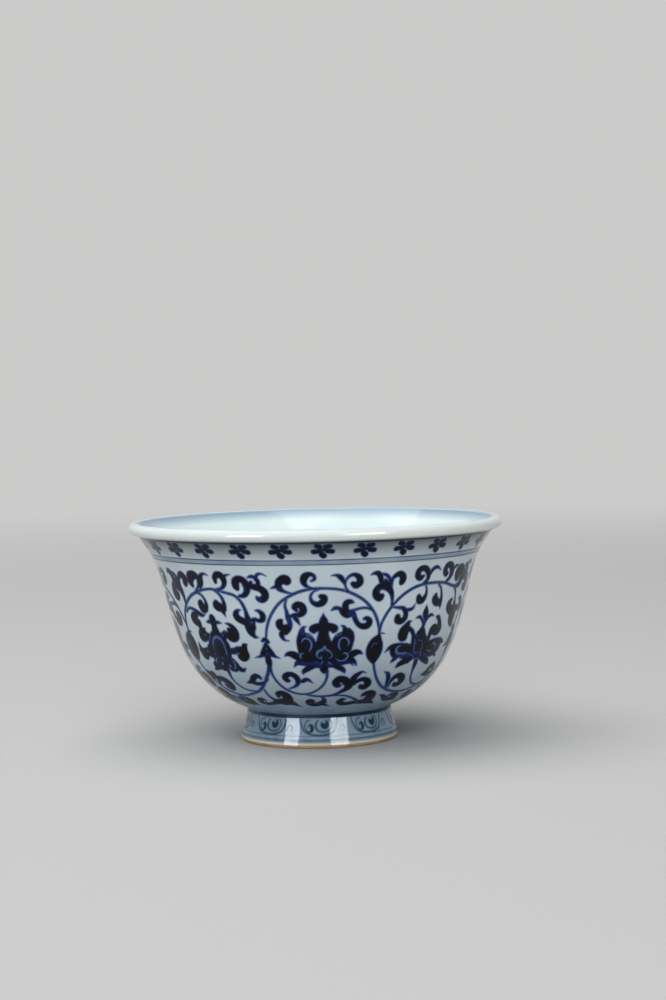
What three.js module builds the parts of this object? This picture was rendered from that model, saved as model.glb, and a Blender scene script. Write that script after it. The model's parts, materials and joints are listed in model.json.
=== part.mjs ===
// A porcelain teacup with a flared wall, a rolled lip and a splayed foot ring.
// Millimetres, +Z up. The cup stands on z = 0 and its axis is Z.
import * as THREE from 'three';

// Driving dimensions of the outside, as it is glazed
const rimRadius = 45;
const cupHeight = 53.2;
const lipRollRadius = 1.42;
const bellyRadius = 35.1;
const bellyHeight = 30;
const footHeight = 8;
const neckRadius = 17.45;
const footRadius = 19.05;

// Walls and coats
const wallThickness = 2.2;
const floorThickness = 2.9;
const glazeThickness = 0.3;
const ringThickness = 2.4;
const slipThickness = 0.4;
const slipBead = 1.1;

// The bare edge that the cup stands on
const glazeEdgeHeight = 0.85;
const footLand = 1.1;

// Directions of the outline in degrees: 0 points away from the axis, 90 points up
const undersideRise = 21;
const bellyRise = 73.5;
const lipRise = 53;
const footRise = 96;
const creaseAngle = -110;

// How far each end of a curve keeps its direction, as a share of the curve's chord
const undersideFullness = 0.506;
const bellyFullness = 0.212;
const wallFullness = 0.518;
const flareFullness = 0.441;
const floorFullness = 0.622;
const innerBellyFullness = 0.483;
const innerWallFullness = 0.557;
const innerFlareFullness = 0.48;
const footFullness = 0.3;

// Facets
const turns = 48;
const footSteps = 3;
const undersideSteps = 7;
const wallSteps = 6;
const underRollSteps = 3;
const overRollSteps = 3;
const innerRollSteps = 2;
const innerWallSteps = 5;
const floorSteps = 6;
const roundSteps = 3;

// Points closer than this are one point
const samePoint = 1e-6;

// Colour and roughness of each fired surface
const finishes = {
  body: { color: 0xe9e6dd, roughness: 0.75 },
  bareFoot: { color: 0xc79a6b, roughness: 0.8 },
  slip: { color: 0xe4e0d4, roughness: 0.8 },
  outerCoat: { color: 0xd5dcdf, roughness: 0.12 },
  innerCoat: { color: 0xdce8e8, roughness: 0.1 },
  wellCoat: { color: 0xd9e2e2, roughness: 0.15 },
};

function direction(degrees) {
  const angle = THREE.MathUtils.degToRad(degrees);
  return new THREE.Vector2(Math.cos(angle), Math.sin(angle));
}

function step(from, degrees, length) {
  return direction(degrees).multiplyScalar(length).add(from);
}

// A smooth stretch of outline that leaves one point and reaches another in given directions
function bend(from, fromAngle, fromFullness, to, toAngle, toFullness, steps) {
  const chord = from.distanceTo(to);
  const curve = new THREE.CubicBezierCurve(
    from,
    step(from, fromAngle, fromFullness * chord),
    step(to, toAngle, -toFullness * chord),
    to,
  );
  return curve.getPoints(steps);
}

function arc(centre, radius, fromAngle, toAngle, steps) {
  const points = [];
  for (let i = 0; i <= steps; i += 1) {
    points.push(step(centre, fromAngle + ((toAngle - fromAngle) * i) / steps, radius));
  }
  return points;
}

function rounded(from, corner, to, steps) {
  return new THREE.QuadraticBezierCurve(from, corner, to).getPoints(steps);
}

// Where the line through start towards degrees reaches a height
function reach(start, degrees, height) {
  const along = direction(degrees);
  return step(start, degrees, (height - start.y) / along.y);
}

// A line at an even distance to the left of another, with mitred corners.
// An end on the axis is mitred with its own mirror image, so it stays on the axis.
function offsetLine(line, distance) {
  return line.map((point, i) => {
    const before = line[i - 1] ?? mirrorEnd(point, line[i + 1]);
    const after = line[i + 1] ?? mirrorEnd(point, line[i - 1]);
    const sideA = leftOf(before, point);
    const sideB = leftOf(point, after);
    const scale = distance / (1 + sideA.dot(sideB));
    return sideA.add(sideB).multiplyScalar(scale).add(point);
  });
}

function mirrorEnd(end, neighbour) {
  if (end.x === 0) {
    return new THREE.Vector2(-neighbour.x, neighbour.y);
  }
  return end.clone().multiplyScalar(2).sub(neighbour);
}

function leftOf(from, to) {
  const along = to.clone().sub(from).normalize();
  return new THREE.Vector2(-along.y, along.x);
}

function join(...lines) {
  const points = [];
  for (const point of lines.flat()) {
    const last = points[points.length - 1];
    if (!last || last.distanceTo(point) > samePoint) {
      points.push(point);
    }
  }
  return points;
}

// The whole glazed outline: up the foot and the wall, over the lip and down to the floor
const neck = new THREE.Vector2(neckRadius, footHeight);
const slipLine = new THREE.Vector2(neckRadius, footHeight - slipThickness);
const glazeEdge = new THREE.Vector2(footRadius, glazeEdgeHeight);
const belly = new THREE.Vector2(bellyRadius, bellyHeight);
const rollCentre = new THREE.Vector2(rimRadius - lipRollRadius, cupHeight - lipRollRadius);
const crease = step(rollCentre, creaseAngle, lipRollRadius);
const innerRollAngle = 90 + lipRise;
const innerLip = step(rollCentre, innerRollAngle, lipRollRadius);
const innerBelly = step(belly, bellyRise + 90, wallThickness);
const floorCentre = new THREE.Vector2(0, footHeight + floorThickness);

const footSide = bend(glazeEdge, footRise, footFullness, slipLine, 90, footFullness, footSteps);
const outerWall = join(
  bend(neck, undersideRise, undersideFullness, belly, bellyRise, bellyFullness, undersideSteps),
  bend(belly, bellyRise, wallFullness, crease, lipRise, flareFullness, wallSteps),
);
const outerRoll = join(
  arc(rollCentre, lipRollRadius, creaseAngle, 0, underRollSteps),
  arc(rollCentre, lipRollRadius, 0, 90, overRollSteps),
);
const innerRoll = arc(rollCentre, lipRollRadius, 90, innerRollAngle, innerRollSteps);
const lipFall = lipRise - 180;
const bellyFall = bellyRise - 180;
const innerWall = join(
  bend(innerLip, lipFall, innerFlareFullness, innerBelly, bellyFall, innerWallFullness, innerWallSteps),
  bend(innerBelly, bellyFall, innerBellyFullness, floorCentre, 180, floorFullness, floorSteps),
);
const glazed = join(footSide, outerWall, outerRoll, innerRoll, innerWall);
const body = offsetLine(glazed, glazeThickness);

const ringTop = footSteps;
const neckAt = ringTop + 1;
const crest = neckAt + outerWall.length - 1 + outerRoll.length - 1;

// The well under the floor, from the axis to the ring's bare edge
const baseHeight = body[neckAt].y;
const seatHeight = body[ringTop].y;
const ringSide = body.slice(0, ringTop + 1);
const ringEdge = ringSide[0];
const ringLean = THREE.MathUtils.radToDeg(body[ringTop].clone().sub(ringEdge).angle());
const ringInnerTop = new THREE.Vector2(body[ringTop].x - ringThickness, seatHeight);
const wellCorner = reach(ringInnerTop, ringLean, baseHeight);
const beadStart = new THREE.Vector2(wellCorner.x - slipBead, baseHeight);
const beadEnd = reach(ringInnerTop, ringLean, baseHeight - slipBead);
const bead = rounded(beadStart, wellCorner, beadEnd, roundSteps);
const wellGlazeEdge = reach(ringInnerTop, ringLean, glazeEdgeHeight);
const wellBody = join([new THREE.Vector2(0, baseHeight)], bead, [wellGlazeEdge]);
const wellGlazed = offsetLine(wellBody, -glazeThickness);

// The bare edge: a flat land between two rounded corners
const landMiddle = (ringEdge.x + wellGlazeEdge.x) / 2;
const landOuter = new THREE.Vector2(landMiddle + footLand / 2, 0);
const landInner = new THREE.Vector2(landMiddle - footLand / 2, 0);
const outerFoot = rounded(landOuter, new THREE.Vector2(ringEdge.x, 0), ringEdge, roundSteps);
const innerFoot = rounded(wellGlazeEdge, new THREE.Vector2(wellGlazeEdge.x, 0), landInner, roundSteps);

const cup = new THREE.Group();
cup.name = 'teacup';

// Turns a closed section, drawn as radius and height, round the upright axis
function addTurned(name, section, finish) {
  const onAxis = section[0].x === 0;
  const closed = onAxis ? section : [...section, section[0]];
  const geometry = new THREE.LatheGeometry(closed, turns);
  geometry.rotateX(Math.PI / 2);
  const material = new THREE.MeshStandardMaterial({ ...finish, metalness: 0 });
  const mesh = new THREE.Mesh(geometry, material);
  mesh.name = name;
  cup.add(mesh);
}

// Thrown body: the wall, the flat base it was turned to and the core of the lip
const bowlSection = [new THREE.Vector2(0, baseHeight), beadStart, ...body.slice(neckAt)];
addTurned('bowl', bowlSection, finishes.body);

// Splayed ring that the bowl stands on, with its bare flat edge
const ringSection = join([landInner], outerFoot, ringSide, [ringInnerTop, beadEnd], innerFoot.slice(0, -1));
addTurned('foot_ring', ringSection, finishes.bareFoot);

// Slip that joins the ring to the base, smoothed to a bead inside the well
const slipSection = join([body[ringTop], body[neckAt]], bead, [ringInnerTop]);
addTurned('luting_slip', slipSection, finishes.slip);

// Outer coat, from the bare edge of the foot to the crest of the lip
const outerSection = [...glazed.slice(0, crest + 1), ...body.slice(0, crest + 1).reverse()];
addTurned('outer_glaze', outerSection, finishes.outerCoat);

// Inner coat, from the floor to the crest of the lip
const innerSection = [...body.slice(crest).reverse(), ...glazed.slice(crest)];
addTurned('inner_glaze', innerSection, finishes.innerCoat);

// Coat on the underside of the base and the inside of the ring
const wellSection = [...wellGlazed, ...wellBody.slice().reverse()];
addTurned('foot_well_glaze', wellSection, finishes.wellCoat);

export default cup;
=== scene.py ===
import json
import math
import bpy
import numpy as np
from mathutils import Matrix, Vector
from mathutils.geometry import delaunay_2d_cdt

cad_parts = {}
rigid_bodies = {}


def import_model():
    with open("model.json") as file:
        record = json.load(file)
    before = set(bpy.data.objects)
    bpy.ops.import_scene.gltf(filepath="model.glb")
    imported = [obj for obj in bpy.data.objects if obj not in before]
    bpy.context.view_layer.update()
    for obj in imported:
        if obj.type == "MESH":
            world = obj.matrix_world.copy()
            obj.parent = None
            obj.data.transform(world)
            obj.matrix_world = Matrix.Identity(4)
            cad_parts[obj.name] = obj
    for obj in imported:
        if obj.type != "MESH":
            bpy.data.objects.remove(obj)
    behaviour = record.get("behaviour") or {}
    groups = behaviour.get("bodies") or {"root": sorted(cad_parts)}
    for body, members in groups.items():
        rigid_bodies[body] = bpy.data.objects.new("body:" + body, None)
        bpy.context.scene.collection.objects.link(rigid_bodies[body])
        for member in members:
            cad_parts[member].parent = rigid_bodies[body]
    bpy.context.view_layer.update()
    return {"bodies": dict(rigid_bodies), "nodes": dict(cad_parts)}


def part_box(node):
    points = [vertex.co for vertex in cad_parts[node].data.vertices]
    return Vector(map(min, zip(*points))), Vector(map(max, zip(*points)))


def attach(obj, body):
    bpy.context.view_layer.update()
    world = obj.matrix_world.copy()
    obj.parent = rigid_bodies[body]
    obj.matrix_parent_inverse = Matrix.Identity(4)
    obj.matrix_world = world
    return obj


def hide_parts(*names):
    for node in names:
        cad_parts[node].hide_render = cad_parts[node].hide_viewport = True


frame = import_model()
print("frame loaded:", ", ".join(sorted(frame["nodes"])))
root = sorted(frame["bodies"])[0]
mm = 0.001


cameraView = dict(
    distance=0.5321,  # from the cup's axis to the lens, m
    height=0.0845,
    yaw=0.4785,  # degrees; the cup stands a little left of the middle
    pitch=2.9086,
    roll=-1.2417,
    lens=79.35,  # on a 36 mm long side
)


def makeCamera(v):
    yaw, pitch, roll = (math.radians(v[k]) for k in ("yaw", "pitch", "roll"))
    ahead = Vector((math.sin(yaw) * math.cos(pitch), math.cos(yaw) * math.cos(pitch), -math.sin(pitch)))
    side = Vector((math.cos(yaw), -math.sin(yaw), 0))
    up = side.cross(ahead)
    side, up = math.cos(roll) * side + math.sin(roll) * up, math.cos(roll) * up - math.sin(roll) * side
    data = bpy.data.cameras.new("camera")
    data.lens = v["lens"]
    data.sensor_width = 36
    data.clip_start = 0.01
    data.clip_end = 20
    cam = bpy.data.objects.new("camera", data)
    bpy.context.scene.collection.objects.link(cam)
    turn = Matrix((side, up, -ahead)).transposed().to_4x4()
    cam.matrix_world = Matrix.Translation((0, -v["distance"], v["height"])) @ turn
    bpy.context.scene.camera = cam


def addObject(name, mesh):
    ob = bpy.data.objects.new(name, mesh)
    bpy.context.scene.collection.objects.link(ob)
    return ob


def nodeMaterial(name):
    mat = bpy.data.materials.new(name)
    mat.use_nodes = True
    mat.node_tree.nodes.clear()
    return mat, mat.node_tree


def feed(tree, socket, value):
    if hasattr(value, "is_linked"):
        tree.links.new(value, socket)
    elif value is not None:
        socket.default_value = value


def addNode(tree, kind, settings=None, **inputs):
    # an input is given by its name, with _ for a space, or as i0, i1 and so on by its place
    node = tree.nodes.new(kind)
    for key, value in (settings or {}).items():
        setattr(node, key, value)
    for key, value in inputs.items():
        numbered = key[0] == "i" and key[1:].isdigit()
        feed(tree, node.inputs[int(key[1:]) if numbered else key.replace("_", " ")], value)
    return node


def maths(tree, operation, a, b=None):
    node = addNode(tree, "ShaderNodeMath", dict(operation=operation))
    for socket, value in zip(node.inputs, (a, b)):
        feed(tree, socket, value)
    return node.outputs[0]


def spread(tree, value, fromMin, fromMax, toMin=0.0, toMax=1.0, curve="LINEAR"):
    given = dict(Value=value, From_Min=fromMin, From_Max=fromMax, To_Min=toMin, To_Max=toMax)
    return addNode(tree, "ShaderNodeMapRange", dict(interpolation_type=curve), **given).outputs[0]


def mixColours(tree, share, a, b):
    return addNode(tree, "ShaderNodeMix", dict(data_type="RGBA"), i0=share, i6=a, i7=b).outputs[2]


def placeOn(tree):
    return addNode(tree, "ShaderNodeTexCoord").outputs["Object"]


def apart(tree, vector):
    return addNode(tree, "ShaderNodeSeparateXYZ", Vector=vector).outputs


def together(tree, **parts):
    return addNode(tree, "ShaderNodeCombineXYZ", **parts).outputs[0]


stageLook = dict(
    floorColour=(0.58, 0.578, 0.572, 1),
    backdropColour=(0.6, 0.6, 0.595, 1),
    backdropFrom=0.12,  # metres from the cup where the floor starts to turn into the backdrop's plain tone
    backdropTo=1.1,
    roughness=0.6,
    front=-2.5,  # the floor runs from here, behind the camera, to the back, and curves up there
    back=1.3,
    curve=0.9,
    top=3.0,
    side=3.0,
    worldColour=(0.93, 0.96, 1, 1),
    worldStrength=0.2,
)


def shownDirectly(tree):
    # 1 for what the camera sees, straight or through a reflection or glass
    path = addNode(tree, "ShaderNodeLightPath")
    mirrored = maths(tree, "MAXIMUM", path.outputs["Is Glossy Ray"], path.outputs["Is Transmission Ray"])
    return maths(tree, "MAXIMUM", path.outputs["Is Camera Ray"], mirrored)


def makeStage(v):
    turns = [math.radians(a) for a in range(0, 91, 5)]
    profile = [(v["front"], 0)]
    profile += [(v["back"] + v["curve"] * math.sin(a), v["curve"] * (1 - math.cos(a))) for a in turns]
    profile += [(v["back"] + v["curve"], v["top"])]
    places = [(side * v["side"], y, z) for y, z in profile for side in (-1, 1)]
    mesh = bpy.data.meshes.new("floor")
    mesh.from_pydata(places, [], [(i, i + 1, i + 3, i + 2) for i in range(0, len(places) - 2, 2)])
    mesh.shade_smooth()
    floor = addObject("floor", mesh)
    mat, tree = nodeMaterial("paleFloor")
    shader = addNode(tree, "ShaderNodeBsdfPrincipled", Base_Color=v["floorColour"], Roughness=v["roughness"])
    shader.inputs["Specular IOR Level"].default_value = 0.0
    plain = addNode(tree, "ShaderNodeEmission", Color=v["backdropColour"], Strength=1.0)
    away = addNode(tree, "ShaderNodeVectorMath", dict(operation="LENGTH"), Vector=placeOn(tree))
    far = spread(tree, away.outputs["Value"], v["backdropFrom"], v["backdropTo"], curve="SMOOTHSTEP")
    share = maths(tree, "MULTIPLY", far, shownDirectly(tree))
    mix = addNode(tree, "ShaderNodeMixShader", i0=share, i1=shader.outputs[0], i2=plain.outputs[0])
    addNode(tree, "ShaderNodeOutputMaterial", Surface=mix.outputs[0])
    mat.cycles.emission_sampling = "NONE"
    mesh.materials.append(mat)

    world = bpy.data.worlds.new("studio")
    bpy.context.scene.world = world
    world.use_nodes = True
    tree = world.node_tree
    tree.nodes.clear()
    light = addNode(tree, "ShaderNodeBackground", Color=v["worldColour"], Strength=v["worldStrength"])
    seen = addNode(tree, "ShaderNodeBackground", Color=v["backdropColour"], Strength=1.0)
    direct = shownDirectly(tree)
    mix = addNode(tree, "ShaderNodeMixShader", i0=direct, i1=light.outputs[0], i2=seen.outputs[0])
    addNode(tree, "ShaderNodeOutputWorld", Surface=mix.outputs[0])


# place, aim, width and height in metres, watts, colour, and which light it gives: soft or mirrored
lamps = dict(
    leftWindow=((-1.02, -1.10, 0.44), (0, 0, 0.10), 0.58, 0.80, 39, (0.93, 0.97, 1), "gloss"),
    rightWindow=((0.75, -1.30, 0.44), (0, 0, 0.10), 0.72, 0.80, 48, (0.95, 0.98, 1), "gloss"),
    overhead=((-0.42, -0.08, 1.2), (-0.42, -0.08, 0), 1.66, 1.4, 15.5, (1, 1, 0.99), "diffuse"),
    panel=((-0.314, -0.027, 1.18), (-0.3, 0, 0), 1.4, 0.52, 6, (0.98, 1, 1), "gloss"),
    fill=((0.0, -1.4, 1.0), (0, 0, 0.03), 1.0, 1.0, 10, (0.98, 0.99, 1), "diffuse"),
)


def makeLamps(table):
    for name, (place, aim, width, height, watts, colour, seenIn) in table.items():
        data = bpy.data.lights.new(name, "AREA")
        data.shape = "RECTANGLE"
        data.size, data.size_y = width, height
        data.energy = watts
        data.color = colour
        lamp = bpy.data.objects.new(name, data)
        bpy.context.scene.collection.objects.link(lamp)
        lamp.visible_diffuse = seenIn != "gloss"
        lamp.visible_glossy = seenIn != "diffuse"
        lamp.location = place
        lamp.rotation_euler = (Vector(aim) - Vector(place)).to_track_quat("-Z", "Y").to_euler()


makeCamera(cameraView)
makeStage(stageLook)
makeLamps(lamps)
bpy.context.scene.view_settings.view_transform = "Standard"
print("camera, floor and lights made")


# The cup's outline, in millimetres as radius and height
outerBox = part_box("outer_glaze")
cupShape = dict(
    rimRadius=outerBox[1].x / mm,
    cupHeight=outerBox[1].z / mm,
    lipRoll=1.42,
    belly=(35.1, 30),
    footHeight=8,
    neckRadius=17.45,
    footRadius=19.05,
    wall=2.2,
    floor=2.9,
    glaze=0.3,
    ring=2.4,
    slip=0.4,
    bead=1.1,
    glazeEdge=0.85,
    land=1.1,
    undersideRise=21,
    bellyRise=73.5,
    lipRise=53,
    footRise=96,
    creaseAngle=-110,
    # how far each end of a curve keeps its direction, as a share of the curve's chord
    undersidePull=0.506,
    bellyPull=0.212,
    wallPull=0.518,
    flarePull=0.441,
    innerFlarePull=0.48,
    innerWallPull=0.557,
    innerBellyPull=0.483,
    floorPull=0.622,
    footPull=0.3,
    # points along each stretch
    footSteps=16,
    undersideSteps=44,
    wallSteps=40,
    underRollSteps=14,
    overRollSteps=12,
    innerRollSteps=7,
    beadSteps=10,
    roundSteps=8,
    neckSoftness=0.55,  # glaze pooled in the corner over the foot
    creaseSoftness=0.3,
)


def heading(degrees):
    a = math.radians(degrees)
    return np.array((math.cos(a), math.sin(a)))


def bend(start, startAngle, startPull, end, endAngle, endPull, steps):
    start, end = np.array(start, float), np.array(end, float)
    chord = np.hypot(*(end - start))
    a = start + startPull * chord * heading(startAngle)
    b = end - endPull * chord * heading(endAngle)
    t = np.linspace(0, 1, steps + 1)[:, None]
    return (1 - t) ** 3 * start + 3 * (1 - t) ** 2 * t * a + 3 * (1 - t) * t * t * b + t ** 3 * end


def arc(centre, radius, fromAngle, toAngle, steps):
    return np.array([centre + radius * heading(a) for a in np.linspace(fromAngle, toAngle, steps + 1)])


def roundedCorner(a, corner, b, steps):
    t = np.linspace(0, 1, steps + 1)[:, None]
    return (1 - t) ** 2 * np.array(a) + 2 * (1 - t) * t * np.array(corner) + t * t * np.array(b)


def joined(*lines):
    points = []
    for p in np.vstack([np.atleast_2d(line) for line in lines]):
        if not points or np.hypot(*(p - points[-1])) > 1e-6:
            points.append(p)
    return np.array(points)


def beside(line, distance):
    pairs = (line[0], line[1]), (line[-1], line[-2])
    # an end on the axis is mitred with its own mirror image
    ends = [after * (-1, 1) if abs(end[0]) < 1e-9 else 2 * end - after for end, after in pairs]
    full = np.vstack([ends[0], line, ends[1]])
    along = np.diff(full, axis=0)
    along /= np.hypot(*along.T)[:, None]
    left = np.stack([-along[:, 1], along[:, 0]], 1)
    both = left[:-1] + left[1:]
    scale = distance / (1 + (left[:-1] * left[1:]).sum(1))
    return line + both * scale[:, None]


def lengths(line):
    return np.r_[0, np.cumsum(np.hypot(*np.diff(line, axis=0).T))]


def softened(line, corner, reach, steps=8):
    t = lengths(line)
    at = t[np.argmin(np.hypot(*(line - corner).T))]
    point = lambda s: np.array([np.interp(s, t, line[:, 0]), np.interp(s, t, line[:, 1])])
    curve = roundedCorner(point(at - reach), corner, point(at + reach), steps)
    return joined(line[t < at - reach], curve, line[t > at + reach])


def outline(v):
    neck = np.array((v["neckRadius"], v["footHeight"]))
    slipLine = neck - (0, v["slip"])
    edge = np.array((v["footRadius"], v["glazeEdge"]))
    belly = np.array(v["belly"], float)
    rollCentre = np.array((v["rimRadius"] - v["lipRoll"], v["cupHeight"] - v["lipRoll"]))
    crease = rollCentre + v["lipRoll"] * heading(v["creaseAngle"])
    innerLip = rollCentre + v["lipRoll"] * heading(90 + v["lipRise"])
    innerBelly = belly + v["wall"] * heading(v["bellyRise"] + 90)
    floorCentre = (0, v["footHeight"] + v["floor"])
    pull = lambda key: v[key + "Pull"]
    steps = lambda key: v[key + "Steps"]
    neckRise, bellyRise, lipRise = v["undersideRise"], v["bellyRise"], v["lipRise"]
    foot = bend(edge, v["footRise"], pull("foot"), slipLine, 90, pull("foot"), steps("foot"))
    wall = joined(
        bend(neck, neckRise, pull("underside"), belly, bellyRise, pull("belly"), steps("underside")),
        bend(belly, bellyRise, pull("wall"), crease, lipRise, pull("flare"), steps("wall")),
    )
    roll = joined(
        arc(rollCentre, v["lipRoll"], v["creaseAngle"], 0, steps("underRoll")),
        arc(rollCentre, v["lipRoll"], 0, 90, steps("overRoll")),
    )
    innerRoll = arc(rollCentre, v["lipRoll"], 90, 90 + v["lipRise"], steps("innerRoll"))
    lipFall, bellyFall = lipRise - 180, bellyRise - 180
    inner = joined(
        bend(innerLip, lipFall, pull("innerFlare"), innerBelly, bellyFall, pull("innerWall"), steps("wall")),
        bend(innerBelly, bellyFall, pull("innerBelly"), floorCentre, 180, pull("floor"), steps("underside")),
    )
    glazed = joined(foot, wall, roll, innerRoll, inner)
    body = beside(glazed, v["glaze"])
    ringTop = len(foot) - 1
    neckAt = ringTop + 1
    crest = neckAt + len(wall) - 1 + len(roll) - 1

    base, seat = body[neckAt][1], body[ringTop][1]
    ringSide = body[: ringTop + 1]
    lean = body[ringTop] - body[0]
    lean /= np.hypot(*lean)
    innerTop = np.array((body[ringTop][0] - v["ring"], seat))
    down = lambda height: innerTop + lean * (height - innerTop[1]) / lean[1]
    wellCorner = down(base)
    beadStart = np.array((wellCorner[0] - v["bead"], base))
    beadEnd = down(base - v["bead"])
    bead = roundedCorner(beadStart, wellCorner, beadEnd, steps("bead"))
    wellEdge = down(v["glazeEdge"])
    wellBody = joined((0, base), (beadStart[0] * 0.5, base), bead, wellEdge)
    wellGlazed = beside(wellBody, -v["glaze"])
    middle = (body[0][0] + wellEdge[0]) / 2
    landOuter, landInner = (middle + v["land"] / 2, 0), (middle - v["land"] / 2, 0)
    outerFoot = roundedCorner(landOuter, (body[0][0], 0), body[0], steps("round"))
    innerFoot = roundedCorner(wellEdge, (wellEdge[0], 0), landInner, steps("round"))

    sharp = glazed[: crest + 1]
    shown = softened(sharp, neck, v["neckSoftness"])
    neckStart = lengths(sharp)[neckAt] - (lengths(sharp)[-1] - lengths(shown)[-1])
    shown = softened(shown, crease, v["creaseSoftness"])
    return dict(
        painted=shown,
        paintedBack=joined(glazed[crest], body[: crest + 1][::-1], glazed[0]),
        neckStart=neckStart,  # how far along the painted side the wall starts
        sections=dict(
            bowl=joined((0, base), (beadStart[0] * 0.5, base), beadStart, body[neckAt:]),
            foot_ring=joined(landInner, outerFoot, ringSide, innerTop, beadEnd, innerFoot[:-1]),
            luting_slip=joined(body[ringTop], body[neckAt], bead, innerTop),
            inner_glaze=joined(body[crest:][::-1], glazed[crest:]),
            foot_well_glaze=joined(wellGlazed, wellBody[::-1]),
        ),
    )


cup = outline(cupShape)
neckStart = cup["neckStart"]
sideLengths = lengths(cup["painted"])
print("outline made: %.2f mm along the painted side, the wall starts at %.2f" % (sideLengths[-1], neckStart))


def nodeGroup(name, inputs):
    tree = bpy.data.node_groups.new(name, "GeometryNodeTree")
    for label, kind, value in inputs:
        socket = tree.interface.new_socket(label, in_out="INPUT", socket_type="NodeSocket" + kind)
        if value is not None:
            socket.default_value = value
    tree.interface.new_socket("Geometry", in_out="OUTPUT", socket_type="NodeSocketGeometry")
    return tree, tree.nodes.new("NodeGroupInput").outputs, tree.nodes.new("NodeGroupOutput")


def aroundAxis(tree, angle, radius, height):
    x = maths(tree, "MULTIPLY", radius, maths(tree, "SINE", angle))
    y = maths(tree, "MULTIPLY", radius, maths(tree, "MULTIPLY", maths(tree, "COSINE", angle), -1.0))
    return together(tree, X=x, Y=y, Z=height)


def storedValue(tree, geometry, name, value, domain, kind="FLOAT"):
    settings = dict(data_type=kind, domain=domain)
    given = dict(Geometry=geometry, Name=name, Value=value)
    return addNode(tree, "GeometryNodeStoreNamedAttribute", settings, **given).outputs[0]


def namedValue(tree, name):
    node = addNode(tree, "GeometryNodeInputNamedAttribute", dict(data_type="FLOAT"), Name=name)
    return node.outputs["Attribute"]


def sampledAt(tree, kind, geometry, index, value):
    node = addNode(tree, "GeometryNodeSampleIndex", dict(data_type=kind), Geometry=geometry, Index=index)
    tree.links.new(value, node.inputs["Value"])
    return node.outputs[0]


def closedSkin(tree, faces, given, out):
    welded = addNode(tree, "GeometryNodeMergeByDistance", Geometry=faces, Distance=given["Weld"]).outputs[0]
    smooth = addNode(tree, "GeometryNodeSetShadeSmooth", Geometry=welded).outputs[0]
    finished = addNode(tree, "GeometryNodeSetMaterial", Geometry=smooth, Material=given["Material"])
    tree.links.new(finished.outputs[0], out.inputs[0])


# Bends a flat band, drawn as angle and length, round the axis along an outline, and repeats it
def bandTree():
    sockets = [("Band", "Object", None), ("Outline", "Object", None), ("Repeats", "Int", 1)]
    tree, given, out = nodeGroup("bandRoundCup", sockets)
    band = addNode(tree, "GeometryNodeObjectInfo", Object=given["Band"]).outputs["Geometry"]
    line = addNode(tree, "GeometryNodeObjectInfo", Object=given["Outline"]).outputs["Geometry"]
    curve = addNode(tree, "GeometryNodeMeshToCurve", Mesh=line).outputs[0]
    flat = apart(tree, addNode(tree, "GeometryNodeInputPosition").outputs[0])
    byLength = dict(mode="LENGTH", use_all_curves=True)
    sample = addNode(tree, "GeometryNodeSampleCurve", byLength, Curves=curve, Length=flat["Y"])
    onLine = apart(tree, sample.outputs["Position"])
    place = aroundAxis(tree, flat["X"], onLine["X"], onLine["Z"])
    bent = addNode(tree, "GeometryNodeSetPosition", Geometry=band, Position=place).outputs[0]
    single = addNode(tree, "GeometryNodeGeometryToInstance", Geometry=bent).outputs[0]
    each = dict(domain="INSTANCE")
    copies = addNode(tree, "GeometryNodeDuplicateElements", each, Geometry=single, Amount=given["Repeats"])
    number = copies.outputs["Duplicate Index"]
    turn = maths(tree, "MULTIPLY", number, maths(tree, "DIVIDE", math.tau, given["Repeats"]))
    spin = dict(Instances=copies.outputs[0], Rotation=together(tree, Z=turn))
    turned = addNode(tree, "GeometryNodeRotateInstances", **spin).outputs[0]
    tree.links.new(storedValue(tree, turned, "turn", number, "INSTANCE"), out.inputs[0])
    return tree


# The painted coat: each band round the cup, then one closed skin
def coatTree(bands, bandGroup):
    sockets = [("Material", "Material", None), ("Weld", "Float", 2e-6)]
    for name in bands:
        sockets += [(name + " band", "Object", None), (name + " outline", "Object", None)]
        sockets += [(name + " repeats", "Int", 1)]
    tree, given, out = nodeGroup("paintedCoat", sockets)
    join = tree.nodes.new("GeometryNodeJoinGeometry")
    for name in bands:
        node = addNode(tree, "GeometryNodeGroup", dict(node_tree=bandGroup))
        for label in ("Band", "Outline", "Repeats"):
            tree.links.new(given["%s %s" % (name, label.lower())], node.inputs[label])
        tree.links.new(node.outputs[0], join.inputs[0])
    whole = addNode(tree, "GeometryNodeRealizeInstances", Geometry=join.outputs[0]).outputs[0]
    kept = storedValue(tree, whole, "copy", namedValue(tree, "turn"), "CORNER")
    closedSkin(tree, kept, given, out)
    return tree


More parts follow.
